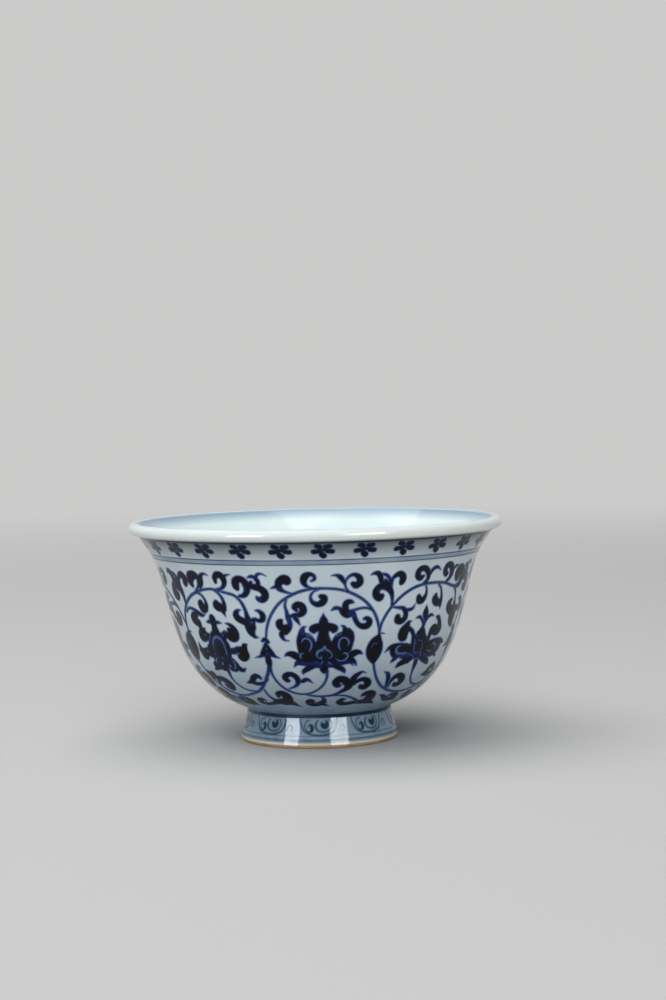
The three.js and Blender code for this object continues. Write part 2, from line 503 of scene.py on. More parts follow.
# A closed section turned round the axis
def turnedTree():
    sockets = [("Section", "Object", None), ("Points", "Int", 2), ("Turns", "Int", 180)]
    sockets += [("Weld", "Float", 2e-6), ("Material", "Material", None)]
    tree, given, out = nodeGroup("turnedSection", sockets)
    points, turns = given["Points"], given["Turns"]
    section = addNode(tree, "GeometryNodeObjectInfo", Object=given["Section"]).outputs["Geometry"]
    counts = dict(Vertices_X=maths(tree, "ADD", turns, 1), Vertices_Y=points)
    grid = addNode(tree, "GeometryNodeMeshGrid", Size_X=1.0, Size_Y=1.0, **counts).outputs["Mesh"]
    number = addNode(tree, "GeometryNodeInputIndex").outputs[0]
    row = maths(tree, "MODULO", number, points)
    column = maths(tree, "FLOOR", maths(tree, "DIVIDE", maths(tree, "ADD", number, 0.5), points))
    angle = maths(tree, "MULTIPLY", column, maths(tree, "DIVIDE", math.tau, turns))
    position = addNode(tree, "GeometryNodeInputPosition").outputs[0]
    onLine = apart(tree, sampledAt(tree, "FLOAT_VECTOR", section, row, position))
    rowAt = sampledAt(tree, "FLOAT", section, row, namedValue(tree, "mapRow"))
    share = maths(tree, "DIVIDE", column, turns)
    across = maths(tree, "ADD", maths(tree, "MULTIPLY", share, 0.98), 0.01)
    mapped = storedValue(tree, grid, "OFBake", together(tree, X=across, Y=rowAt), "CORNER", "FLOAT2")
    place = aroundAxis(tree, angle, onLine["X"], onLine["Z"])
    bent = addNode(tree, "GeometryNodeSetPosition", Geometry=mapped, Position=place).outputs[0]
    whole = addNode(tree, "GeometryNodeRealizeInstances", Geometry=bent).outputs[0]
    closedSkin(tree, whole, given, out)
    return tree


def treeResult(name, tree, values):
    carrier = addObject(name + "Carrier", bpy.data.meshes.new(name + "Carrier"))
    change = carrier.modifiers.new(name, "NODES")
    change.node_group = tree
    for item in tree.interface.items_tree:
        if item.item_type == "SOCKET" and item.in_out == "INPUT" and item.name in values:
            change[item.identifier] = values[item.name]
    graph = bpy.context.evaluated_depsgraph_get()
    made = carrier.evaluated_get(graph)
    mesh = bpy.data.meshes.new_from_object(made, preserve_all_data_layers=True, depsgraph=graph)
    mesh.name = name
    carrier.modifiers.clear()
    bpy.data.objects.remove(carrier)
    return mesh


def lineObject(name, line, rows=None):
    mesh = bpy.data.meshes.new(name)
    mesh.from_pydata([(r * mm, 0, z * mm) for r, z in line], [(i, i + 1) for i in range(len(line) - 1)], [])
    if rows is not None:
        layer = mesh.attributes.new("mapRow", "FLOAT", "POINT")
        layer.data.foreach_set("value", np.array(rows, np.float32))
    return addObject(name, mesh)


# The painting: brush strokes on the unrolled side, as degrees round, millimetres up and half width
def radiusAt(rise):
    return np.interp(rise + neckStart, sideLengths, cup["painted"][:, 0])


def mirrored(strokes, axis):
    return [[(2 * axis - a, s, w) for a, s, w in stroke] for stroke in strokes]


def moved(strokes, shift, scale=1, pivot=0):
    return [[((a - pivot) * scale + pivot + shift, s, w) for a, s, w in stroke] for stroke in strokes]


def fuller(strokes, least, most, sides=1.0, low=1.0):
    # narrow parts grow by least and broad parts by most; all parts grow by sides at the cup's sides
    # and by low near the foot
    def grown(a, s, w):
        aside = abs((a + 90) % 180 - 90)
        shares = (w - 0.2) / 0.4, (aside - 44) / 22, (19 - s) / 8
        broad, side, down = (min(1, max(0, share)) for share in shares)
        return w * (least + (most - least) * broad) * (1 + (sides - 1) * side) * (1 + (low - 1) * down)

    return [[(a, s, grown(a, s, w)) for a, s, w in stroke] for stroke in strokes]


def eased(share):
    share = np.clip(share, 0, 1)
    return share * share * (3 - 2 * share)


brushLook = dict(
    # half widths in mm: narrow up to the first, broad from there on by the second
    narrow=0.3,
    broader=0.42,
    toneReach=-0.25,  # the tone is painted this far past the edge, mm
    fade=1.4,  # how fast the cobalt darkens again beside a blue mark, per mm
    lightEdge=0.04,
    touch=1.1,  # how far round a stroke the grids are filled, mm
    finest=0.03,
    pieces=6,
)


class Painting:
    # Grids over a stretch of the unrolled side. depth: how far inside the strokes, in millimetres.
    # tone: from pale (0) to heaped cobalt (1). light: how far inside the marks left light.
    def __init__(self, start, span, low, high, cell=0.1, flatRadius=36.0):
        self.start, self.span, self.low, self.high = start, span, low, high
        self.flatRadius = flatRadius
        columns = int(round(math.radians(span) * flatRadius / cell)) + 1
        rows = int(round((high - low) / cell)) + 1
        self.angles = np.radians(np.linspace(0, span, columns))
        self.heights = np.linspace(low, high, rows)
        self.depth = np.full((rows, columns), -2.0)
        self.light = np.full((rows, columns), -2.0)
        self.tone = np.zeros((rows, columns))

    def brush(self, strokes, load, thin=0.5, edge=0.4, fill=0.48):
        # cobalt heaps up where a stroke is broad; its narrow parts stay at the tone called thin
        for stroke in strokes:
            for box, inside, width in self.touches(stroke):
                np.maximum(self.depth[box], inside, out=self.depth[box])
                np.minimum(self.light[box], -inside, out=self.light[box])
                full = thin + (load - thin) * eased((width - brushLook["narrow"]) / brushLook["broader"])
                heap = edge + (full - edge) * eased(inside / fill)
                heap = np.where(inside > brushLook["toneReach"], heap, 0)
                np.maximum(self.tone[box], heap, out=self.tone[box])

    def leaveBlue(self, strokes, tone):
        for stroke in strokes:
            for box, inside, _ in self.touches(stroke):
                beside = tone + brushLook["fade"] * np.maximum(0, -inside)
                np.minimum(self.tone[box], beside, out=self.tone[box])

    def leaveLight(self, strokes):
        for stroke in strokes:
            for box, inside, _ in self.touches(stroke):
                np.maximum(self.light[box], inside - brushLook["lightEdge"], out=self.light[box])

    def touches(self, stroke):
        # the stretch of grid under each short piece of a stroke, and how far inside the piece it lies
        p = np.array(stroke, float)
        p[:, 0] = np.radians(p[:, 0] - self.start)
        whole = np.radians(self.span)
        p[:, 0] -= math.floor(p[0, 0] / whole) * whole
        q = np.vstack([2 * p[0] - p[1], p, 2 * p[-1] - p[-2]])
        t = np.linspace(0, 1, brushLook["pieces"], endpoint=False)[:, None]
        path = []
        for a, b, c, d in zip(q, q[1:], q[2:], q[3:]):
            second, third = 2 * a - 5 * b + 4 * c - d, 3 * b - a - 3 * c + d
            path.append(0.5 * (2 * b + (c - a) * t + second * t * t + third * t ** 3))
        path = np.vstack(path + [p[-1:]])
        path[:, 2] = np.maximum(path[:, 2], brushLook["finest"])
        for shift in (-whole, 0, whole):
            for (a0, s0, w0), (a1, s1, w1) in zip(path + (shift, 0, 0), path[1:] + (shift, 0, 0)):
                reach = max(w0, w1) + brushLook["touch"]
                radius = radiusAt((s0 + s1) / 2)
                wide = reach / radius
                i0, i1 = np.searchsorted(self.angles, (min(a0, a1) - wide, max(a0, a1) + wide))
                j0, j1 = np.searchsorted(self.heights, (min(s0, s1) - reach, max(s0, s1) + reach))
                if i1 <= i0 or j1 <= j0:
                    continue
                x = ((self.angles[i0:i1] - a0) * radius)[None, :]
                y = (self.heights[j0:j1] - s0)[:, None]
                dx, dy = (a1 - a0) * radius, s1 - s0
                t = np.clip((x * dx + y * dy) / (dx * dx + dy * dy + 1e-12), 0, 1)
                width = w0 + (w1 - w0) * t
                yield (slice(j0, j1), slice(i0, i1)), width - np.hypot(x - dx * t, y - dy * t), width

    def read(self, grid, x, y):
        # x in millimetres at the flat radius, y in millimetres up
        columns, rows = len(self.angles) - 1, len(self.heights) - 1
        i = np.clip(x / self.flatRadius / self.angles[-1] * columns, 0, columns - 1e-6)
        j = np.clip((y - self.low) / (self.high - self.low) * rows, 0, rows - 1e-6)
        i0, j0 = i.astype(int), j.astype(int)
        u, v = i - i0, j - j0
        low = grid[j0, i0] * (1 - u) + grid[j0, i0 + 1] * u
        high = grid[j0 + 1, i0] * (1 - u) + grid[j0 + 1, i0 + 1] * u
        return low * (1 - v) + high * v

    def contours(self, grid, level):
        # lines where the grid equals level, as chained points
        v = grid - level
        v = np.where(np.abs(v) < 1e-7, 1e-7, v)
        rows, columns = v.shape
        width = columns - 1
        up = v > 0
        jh, ih = np.nonzero(up[:, :-1] != up[:, 1:])
        th = v[jh, ih] / (v[jh, ih] - v[jh, ih + 1])
        jv, iv = np.nonzero(up[:-1] != up[1:])
        tv = v[jv, iv] / (v[jv, iv] - v[jv + 1, iv])
        offset = rows * width
        place = {}
        for key, j, i in zip(jh * width + ih, jh, ih + th):
            place[int(key)] = (i, j)
        for key, j, i in zip(offset + jv * columns + iv, jv + tv, iv):
            place[int(key)] = (i, j)
        corners = np.stack([up[:-1, :-1], up[:-1, 1:], up[1:, 1:], up[1:, :-1]])
        kind = corners.sum(0)
        links = {}
        for j, i in zip(*np.nonzero((kind > 0) & (kind < 4))):
            j, i = int(j), int(i)
            upright = offset + j * columns + i
            edges = (j * width + i, upright + 1, (j + 1) * width + i, upright)
            a, b, c, d = corners[:, j, i]
            cut = [e for e, on in zip(edges, (a != b, b != c, c != d, d != a)) if on]
            if len(cut) == 2:
                pairs = [cut]
            else:
                middle = v[j : j + 2, i : i + 2].mean() > 0
                first, other = (1, (2, 3)) if middle == a else (3, (1, 2))
                pairs = [(edges[0], edges[first]), (edges[other[0]], edges[other[1]])]
            for e, f in pairs:
                links.setdefault(e, []).append(f)
                links.setdefault(f, []).append(e)
        scale = np.array([self.angles[-1] * self.flatRadius / width, (self.high - self.low) / (rows - 1)])
        lines, seen = [], set()
        ends = [e for e, n in links.items() if len(n) == 1]
        for start in ends + list(links):
            if start in seen:
                continue
            chain, at = [start], start
            seen.add(start)
            while True:
                ahead = [n for n in links[at] if n not in seen]
                if not ahead:
                    break
                at = ahead[0]
                seen.add(at)
                chain.append(at)
            closed = len(links[start]) == 2
            points = np.array([place[e] for e in chain]) * scale + (0, self.low)
            lines.append((points, closed))
        return lines


def thinned(points, closed, tolerance):
    # keeps the points that matter to the shape of a line
    count = len(points)
    if count < 4:
        return points
    keep = np.zeros(count, bool)
    keep[[0, -1]] = True
    stack = [(0, count - 1)]
    if closed:
        far = int(np.argmax(np.hypot(*(points - points[0]).T)))
        keep[far] = True
        stack = [(0, far), (far, count - 1)]
    while stack:
        i, j = stack.pop()
        if j <= i + 1:
            continue
        a, b = points[i], points[j]
        d = b - a
        size = np.hypot(*d)
        rest = points[i + 1 : j] - a
        off = np.abs(rest[:, 0] * d[1] - rest[:, 1] * d[0]) / size if size > 1e-9 else np.hypot(*rest.T)
        k = int(np.argmax(off))
        if off[k] > tolerance:
            k += i + 1
            keep[k] = True
            stack += [(i, k), (k, j)]
    return points[keep]


sheetLook = dict(
    edgeTurns=324,  # points round the cup where two bands meet
    ground=1.25,  # spacing of the points between strokes, mm
    core=0.65,  # and inside broad strokes
    edgeTolerance=0.012,
    lightTolerance=0.02,
    haloTolerance=0.07,
    toneTolerance=0.05,
    tones=(0.6, 0.93),  # lines of even tone that the sheet follows
    haloLine=-0.26,  # and lines this far outside a stroke and inside a light mark, mm
    glowLine=0.13,
    lightMargin=0.08,  # cobalt left round a light mark, mm
    # cobalt beside the light marks: tone at their edge, its rise per mm, and where the rise starts
    besideTone=0.6,
    besideRise=1.5,
    besideStart=0.04,
    fewestPoints=5,  # lines of no more points than this are dropped
    # free points keep away from the band's sides and ends, the strokes and the light marks, mm
    sideRoom=0.2,
    endRoom=0.1,
    strokeRoom=0.07,
    lightRoom=0.06,
    groundRoom=0.45,
    coreRoom=0.5,
    pointCell=0.22,
    rowRoom=0.12,
    rowEnd=0.05,
    deepFace=0.14,
    painted=0.1,  # what ink and light say at a stroke's own edge
)


# A flat triangle sheet whose edges follow the strokes
def paintedSheet(name, painting, rowsAt, v):
    width = painting.angles[-1] * painting.flatRadius
    low, high = painting.low, painting.high
    within = lambda grid, p: painting.read(grid, p[:, 0], p[:, 1])
    points, edges = [], []

    def add(line, closed=False, joinedUp=True):
        first = len(points)
        points.extend(map(tuple, line))
        if joinedUp:
            edges.extend((i, i + 1) for i in range(first, len(points) - 1))
            if closed:
                edges.append((len(points) - 1, first))

    painting.light = np.minimum(painting.light, painting.depth - v["lightMargin"])
    # cobalt lies thinner beside the marks left light
    beside = v["besideTone"] + v["besideRise"] * np.maximum(0, -painting.light - v["besideStart"])
    painting.tone = np.minimum(painting.tone, beside)
    strokeEdges = painting.contours(painting.depth, 0)
    lightEdges = painting.contours(painting.light, 0)
    for lines, tolerance in ((strokeEdges, v["edgeTolerance"]), (lightEdges, v["lightTolerance"])):
        for p, closed in lines:
            if len(p) > v["fewestPoints"]:
                add(thinned(p, closed, tolerance), closed)
    openLines = [p for p, closed in strokeEdges + lightEdges if not closed]
    cut = [end[1] for p in openLines for end in (p[0], p[-1]) if end[0] < 1e-6]
    steps = int(round(v["edgeTurns"] * painting.span / 360))
    across = np.linspace(0, width, steps + 1)
    rows = [r for r in rowsAt if low + v["rowEnd"] < r < high - v["rowEnd"]]
    free = [r for r in rows if not any(abs(r - s) < v["rowRoom"] for s in cut)]
    side = np.array(sorted([low, high] + cut + free))
    for x in (0, width):
        add([(x, y) for y in side])
    for y in (low, high):
        add([(x, y) for x in across])

    # points that the sheet passes through without an edge of its own
    loose = [np.array([(x, y) for y in rows]).reshape(-1, 2) for x in across[1:-1]]
    followed = [(painting.depth, v["haloLine"], v["haloTolerance"])]
    followed += [(painting.light, v["glowLine"], v["edgeTolerance"])]
    followed += [(painting.tone, tone, v["toneTolerance"]) for tone in v["tones"]]
    for grid, level, tolerance in followed:
        found = painting.contours(grid, level)
        loose += [thinned(p, closed, tolerance) for p, closed in found if len(p) > v["fewestPoints"] + 1]
    for spacing, least, most in ((v["ground"], -9, -v["groundRoom"]), (v["core"], v["coreRoom"], 9)):
        xs = np.arange(spacing / 2, width - spacing / 3, spacing)
        ys = np.arange(low + spacing / 2, high - spacing / 3, spacing * 0.87)
        gx, gy = np.meshgrid(xs, ys)
        gx = gx + (np.arange(len(ys)) % 2)[:, None] * spacing / 2
        spots = np.stack([gx.ravel(), gy.ravel()], 1)
        spots = spots[spots[:, 0] < width - 0.3]
        depth = within(painting.depth, spots)
        loose.append(spots[(depth > least) & (depth < most)])
    loose = np.vstack(loose)
    x, y = loose.T
    aside, end = v["sideRoom"], v["endRoom"]
    loose = loose[(x > aside) & (x < width - aside) & (y > low + end) & (y < high - end)]
    clear = np.abs(within(painting.depth, loose)) > v["strokeRoom"]
    clear &= np.abs(within(painting.light, loose)) > v["lightRoom"]
    cells = {}
    for p in loose[clear]:
        cells.setdefault((int(p[0] / v["pointCell"]), int(p[1] / v["pointCell"])), p)
    add(list(cells.values()), joinedUp=False)

    for again in (True, False):
        made = delaunay_2d_cdt([Vector(p) for p in points], edges, [], 0, 1e-5)
        flat = np.array([tuple(p) for p in made[0]])
        faces = np.array([f for f in made[2] if len(f) == 3])
        if again:  # a face between strokes needs a point in its middle
            middle = flat[faces].mean(1)
            deep = np.abs(within(painting.depth, middle) - within(painting.depth, flat)[faces].mean(1))
            add(middle[deep > v["deepFace"]], joinedUp=False)
    a, b, c = (flat[faces[:, k]] for k in range(3))
    area = (b[:, 0] - a[:, 0]) * (c[:, 1] - a[:, 1]) - (b[:, 1] - a[:, 1]) * (c[:, 0] - a[:, 0])
    faces[area < 0] = faces[area < 0][:, ::-1]
    faces = faces[np.abs(area) > 1e-9]
    middle = flat[faces].mean(1)
    depth = within(painting.depth, flat)[faces]
    inked = (within(painting.depth, middle) > 0)[:, None]
    ink = np.where(inked, np.maximum(depth, 0) + v["painted"], np.minimum(depth, 0))
    lit = (within(painting.light, middle) > 0)[:, None]
    light = np.where(lit, np.maximum(within(painting.light, flat)[faces], 0) + v["painted"], 0)
    along = flat[:, 1] + neckStart
    share = flat[:, 0] / width
    mesh = flatMesh(name, flat[:, 0] / painting.flatRadius + math.radians(painting.start), along, faces)
    tone = within(painting.tone, flat)[faces]
    cornerValues(mesh, ink=ink, tone=tone, light=light, along=along[faces], share=share[faces])
    return mesh


def flatMesh(name, angle, along, faces):
    mesh = bpy.data.meshes.new(name)
    mesh.vertices.add(len(angle))
    mesh.vertices.foreach_set("co", np.stack([angle, along * mm, 0 * along], 1).ravel())
    sides = faces.shape[1]
    mesh.loops.add(faces.size)
    mesh.loops.foreach_set("vertex_index", faces.ravel().astype(np.int32))
    mesh.polygons.add(len(faces))
    mesh.polygons.foreach_set("loop_start", np.arange(0, faces.size, sides, dtype=np.int32))
    mesh.update(calc_edges=True)
    return mesh


def cornerValues(mesh, **values):
    for key, value in values.items():
        layer = mesh.attributes.new(key, "FLOAT", "CORNER")
        layer.data.foreach_set("value", np.ascontiguousarray(value, np.float32).ravel())


# The hidden side of the coat, where it lies on the body
def backSheet(name, line, turns, tolerance):
    kept = thinned(line, False, tolerance)
    at = lengths(line)[[np.argmin(np.hypot(*(line - p).T)) for p in kept]]
    angle, along = np.meshgrid(np.linspace(0, math.tau, turns + 1), at)
    number = np.arange(angle.size).reshape(angle.shape)
    faces = np.stack([number[:-1, :-1], number[:-1, 1:], number[1:, 1:], number[1:, :-1]], -1).reshape(-1, 4)
    mesh = flatMesh(name, angle.ravel(), along.ravel(), faces)
    bare = np.full(faces.shape, -0.5)
    hidden = -1 - along.ravel()[faces]  # the hidden side counts down from -1
    share = angle.ravel()[faces] / math.tau
    cornerValues(mesh, ink=bare, tone=0 * bare, light=0 * bare, along=hidden, share=share)
    return mesh


# Strokes of the scroll, in the order that they are painted

# lotus medallion between the spear bud and the drop bud
lotusMiddle = dict(
    vine=[
        [(-19.9, 27.4, .22), (-18.9, 30.2, .24), (-16.8, 33.1, .25), (-13.2, 36, .26), (-8, 38.1, .27),
         (-3, 39.1, .27), (2, 39.3, .25), (8, 38.9, .25), (13, 37.7, .27), (17.6, 35.7, .27),
         (21.2, 32.9, .27), (23.4, 29.7, .26), (24, 27.6, .25)],
        [(-20.3, 19.6, .3), (-19.9, 17.6, .24), (-18.4, 15.3, .24), (-15.2, 13.1, .26),
         (-10.4, 11.7, .25), (-5.5, 11.6, .22), (-1.5, 12.6, .22), (1.7, 14.3, .22), (3.5, 16.6, .24),
         (3.7, 18.8, .3)],
        [(-7, 11.5, .2), (-3, 10.8, .24), (2, 10.6, .26), (7, 10.9, .32), (11, 12.1, .4)],
        [(6, 10.7, .18), (12, 10.6, .22), (16, 9.8, .25), (20, 8.5, .3)],
    ],
    leaves=[
        [(-10.7, 40.8, .45), (-10.1, 41.2, .85), (-10.9, 41.7, .9), (-12.4, 41.2, .85),
         (-13.2, 40.4, .68), (-12.9, 39.5, .62), (-11.9, 38.9, .38), (-9.6, 38.3, .2),
         (-7.4, 38.1, .2)],
        [(-13.1, 40.1, .5), (-14.4, 39.8, .36), (-16.1, 39.4, .06)],
        [(-1.8, 41.1, .2), (-.7, 41.6, .34), (-.9, 42.4, .36), (-2.3, 42.8, .5), (-3.9, 42.2, .74),
         (-4.4, 41, .62), (-3.6, 40, .36), (-1.7, 39.4, .22), (1, 39.2, .2)],
        [(5, 42.3, .06), (6.6, 42.4, .26), (8.1, 41.9, .5), (9.2, 40.9, .4), (9.9, 39.8, .16)],
        [(11.5, 38.2, .2), (10.2, 39.2, .22), (9.9, 40.6, .22), (11, 41.9, .28), (12.8, 42.4, .4),
         (14.6, 41.7, .6), (15, 40.5, .72), (13.7, 39.8, .7), (12.5, 40.2, .45)],
        [(1, 39.1, .16), (-1.2, 38.5, .2), (-2.2, 37.3, .26), (-1.6, 36.1, .42), (.2, 35.5, .56),
         (2, 36, .7), (2.6, 37, .66), (1.4, 37.4, .46)],
        [(-10.8, 36.8, .2), (-11.4, 35.3, .24), (-11, 33.9, .32), (-10.6, 32.4, .5), (-10.1, 31, .5),
         (-10.7, 29.7, .56), (-12, 28.8, .56)],
        [(-7.2, 34, .3), (-8, 34.9, .56), (-6.9, 35.5, .66), (-5.4, 35.1, .74), (-5, 33.9, .72),
         (-6.3, 33.1, .56), (-8.4, 33, .4), (-10.2, 32.6, .34)],
        [(-8.6, 32.9, .4), (-7.6, 32, .46), (-6.4, 30.6, .1)],
        [(-13.3, 31.7, .4), (-14, 31.1, .72), (-13.8, 30.3, .76), (-12.7, 29.8, .76), (-11.4, 30.1, .64)],
        [(-12.4, 29.2, .6), (-13.5, 28.4, .56), (-13.3, 27.5, .4), (-12.4, 26.9, .22),
         (-10.8, 26.7, .05)],
        [(20.5, 33.5, .2), (18.2, 34.2, .24), (15.6, 34.2, .25), (13.2, 33.8, .3), (11.4, 33.4, .5)],
        [(5.2, 34, .14), (6.5, 34.5, .38), (8.2, 34.3, .4), (9.4, 33.4, .62), (10.8, 32.7, .6),
         (12.6, 32.9, .5)],
        [(13.3, 35.6, .08), (12, 35.9, .46), (10.6, 35.7, .6), (10.1, 34.7, .66), (10.4, 33.7, .7)],
        [(13.2, 33, .5), (14, 31.6, .48), (15.2, 30.4, .5), (17, 29.8, .62), (18.9, 30, .7),
         (19.5, 31, .6), (18.3, 31.7, .46), (17.1, 31.6, .2)],
        [(-12.6, 16, .14), (-13.8, 16.1, .5), (-14.6, 17, .6), (-13.4, 17.8, .62), (-11.4, 17.9, .58),
         (-9.7, 17.1, .58), (-9, 16, .52), (-9.6, 14.9, .38), (-11.4, 14, .26), (-13.6, 13.5, .18)],
        [(-7.8, 15.5, .16), (-6.6, 16, .46), (-5.2, 16.4, .42), (-3.8, 15.9, .26), (-2.5, 15.2, .05)],
        [(10.1, 14.4, .2), (8.7, 14.2, .56), (7.8, 15.2, .76), (9.2, 16.2, .8), (11.2, 16, .8),
         (13, 15, .86), (13.9, 13.8, .76), (12.8, 12.9, .56), (10.6, 12.1, .36)],
        [(19.4, 14.1, .2), (20.2, 13.4, .56), (21.9, 13.2, .66), (23, 14.1, .72), (22.3, 15.2, .66),
         (20.3, 15.8, .56), (18, 15.5, .5), (16, 14.8, .6), (14.4, 14.2, .6)],
        [(14.8, 15.3, .6), (16, 16.7, .6), (17.6, 17.6, .44), (19.2, 18, .24), (20.9, 17.6, .05)],
        [(-2.8, 8, .2), (-3.8, 8.8, .46), (-5.3, 8.6, .56), (-5.2, 7.6, .62), (-3.4, 7, .62),
         (-.8, 7.1, .7), (1.5, 7.7, .66), (2.6, 8.7, .44), (2.2, 9.8, .28), (.6, 10.6, .18)],
        [(1.2, 7.4, .6), (3.2, 6.7, .36), (5.8, 5.9, .05)],
    ],
)
# washes come with their load
lotusWash = [
    (0.86, [
        [(-5.8, 28.2, .4), (-5.3, 27, 1.2), (-4.6, 25.6, 1.8), (-4.4, 24, 1.9), (-4.6, 22.6, 1.5)],
        [(-.6, 25.8, .7), (0, 24.2, 1.2), (.6, 22.8, 1.2), (1.2, 21.5, 1.1)],
        [(-4.8, 27.2, .9), (-3.2, 26.8, .9)],
        [(-3, 23, .9), (-1, 22.6, .9)],
        [(2.3, 25.6, .6), (2.3, 24, 1.2)],
    ]),
    (0.66, [
        [(-11.6, 23.3, .3), (-9.5, 22.9, .7), (-6.5, 22.2, 1), (-3, 21.6, 1), (0, 21, 1), (2.3, 20.8, 1)],
        [(-8.6, 20.9, .4), (-6, 20.8, .5), (-3, 20.5, .7), (0, 20.2, .6)],
    ]),
]
lotusHalf = [
    [(2.5, 30.1, .9), (.8, 30, .95), (-.9, 29.8, .9), (-1.8, 29.5, .75), (-1.3, 28.9, .45)],
    [(-4, 30.2, .05), (-5.1, 30, .3), (-5.8, 29, .6), (-5.9, 28, .85), (-6.6, 26.7, .8),
     (-6.6, 25.4, .76), (-6, 24.2, .85), (-4.6, 23.4, .9)],
    [(-5.9, 28.2, .3), (-4.2, 28.4, .26), (-2.5, 27.7, .32), (-1.6, 26.3, .5), (-1.3, 24.9, .66),
     (-1.6, 23.6, .7)],
    [(-4.9, 26.8, .3), (-4.2, 26.3, .5), (-4, 25.4, .5), (-4.2, 24.2, .6), (-4.4, 23, .8)],
    [(-13.4, 22.8, .05), (-11.8, 23.4, .5), (-9.8, 23.3, .76), (-7.8, 22.5, .8), (-5.6, 22.1, .86),
     (-3.4, 21.7, .8), (-1.2, 21.6, .7)],
    [(-7.4, 21.8, .6), (-8.8, 20.9, .42), (-10, 19.9, .05)],
    [(-.4, 20.5, .36), (-2.4, 20, .56), (-4.3, 19.5, .64), (-5.9, 18.8, .5), (-6.5, 18, .12)],
]
lotusPistil = [
    [(2.6, 24.4, .12), (2.6, 24, .34), (2.6, 23.5, .2), (2.6, 22.8, .5), (2.6, 21.9, .4)],
    [(.3, 22.6, .16), (.5, 23, .34), (1.1, 23.4, .3), (1.8, 23.2, .3), (2.4, 22.6, .4)],
    [(5, 22.7, .2), (4.6, 23.2, .34), (3.6, 23.4, .32), (2.9, 22.8, .4)],
]
lotusSpine = [
    [(2.2, 33.4, .04), (2.2, 32.4, .44), (2.3, 31.2, .95), (2.4, 29.8, 1.1), (2.2, 28.2, 1.1),
     (2.2, 27, 1.35), (2.3, 26, 1.6)],
    [(2.3, 21.2, .6), (2.3, 20.2, .9), (2.4, 19.2, .86), (2.6, 18.4, .4)],
]
lotusLight = [
    [(-3.5, 24, .1), (-2.8, 24.7, .24), (-2.4, 25.6, .28), (-2.7, 26.5, .27), (-3.6, 27.15, .25),
     (-4.7, 27.3, .25), (-5.7, 26.95, .23), (-6.3, 26.3, .1)],
    [(8.9, 24.2, .12), (8.2, 25, .25), (8.05, 25.9, .25), (8.5, 26.7, .25), (9.5, 27.2, .25),
     (10.7, 27.15, .25), (11.7, 26.6, .27), (12, 25.9, .25), (11.6, 25.2, .12)],
    [(-5.7, 23.6, .12), (-6.7, 23.4, .26), (-7.05, 22.8, .27), (-6.7, 22.2, .14)],
    [(9.9, 23.2, .12), (10.7, 23.4, .23), (11.6, 23.1, .25), (11.9, 22.5, .25), (11.3, 21.9, .25),
     (10.3, 21.5, .23), (9.1, 21.35, .21), (7.9, 21.6, .2), (6.9, 22.1, .1)],
    [(2.6, 25.3, .2), (2.6, 24.8, .55)],
    [(2.2, 24.4, .36), (1, 24.3, .34), (0, 23.9, .38), (-.4, 23.2, .34), (0, 22.6, .26), (.9, 22.25, .2)],
    [(3, 24.4, .33), (4.2, 24.1, .22), (5.2, 23.6, .2), (5.6, 23, .2), (5.2, 22.4, .16),
     (4.2, 22.2, .12)],
    [(1.2, 22.9, .1), (1.4, 22.3, .2), (1.2, 21.9, .1)],
    [(2.1, 21.7, .1), (1.6, 21.1, .2), (1.1, 20.6, .08)],
    [(3.9, 21.2, .1), (4.7, 20.9, .22), (5.5, 20.4, .08)],
]
# where the cobalt stays blue
leafBlue = [
    [(-27.2, 40.6, .2), (-26.2, 39.8, .3), (-25.9, 38.8, .3)],
    [(-25.6, 31.7, .2), (-25.3, 30.7, .3)],
    [(-21.4, 36.9, .2), (-20.5, 36.7, .25)],
    [(-23.6, 42.2, .2), (-22.2, 42.3, .2)],
    [(-30.2, 34, .2), (-29.3, 34.1, .2)],
    [(24.2, 41.8, .2), (25.8, 41, .3), (26.8, 40, .3)],
    [(22.2, 38.2, .15), (23.2, 38.5, .2), (24.6, 38.3, .15)],
    [(33, 32.4, .2), (33.3, 31.5, .3)],
    [(20.2, 42.5, .1), (19, 42.2, .1)],
]
lotusBlue = [
    [(-12.9, 39.5, .2), (-12.3, 39.2, .3), (-11, 38.6, .2)],
    [(-4.4, 30, .2), (-5.6, 29.4, .4), (-5.7, 28.4, .4)],
    [(-3.6, 28, .2), (-2.2, 27.5, .2), (-1.2, 26.7, .2)],
    [(7.4, 30.2, .1), (7.7, 29.6, .2), (7.2, 28.9, .1)],
    [(-8, 21.1, .2), (-5.5, 20.9, .3), (-3, 20.9, .3), (-.6, 21.1, .3), (1, 20.4, .4)],
    [(3.6, 20.6, .3), (4.8, 20.1, .45), (5.6, 19.6, .2)],
    [(4.2, 28, .1), (4.4, 27.2, .15), (4.8, 26.4, .1)],
    [(-10.8, 36, .2), (-10.7, 34, .3), (-10.4, 32.3, .4), (-9.9, 30.6, .35)],
    [(11.6, 33.1, .3), (12.8, 32.7, .35), (13.6, 32, .25)],
]
lotusRight = [
    [(11.6, 29.2, .4), (12.6, 28.2, .6), (13, 26.9, .6), (12.6, 25.6, .6), (11.8, 24.4, .8)],
    [(13.6, 21.6, .6), (15, 20.8, .4), (16, 19.8, .05)],
]

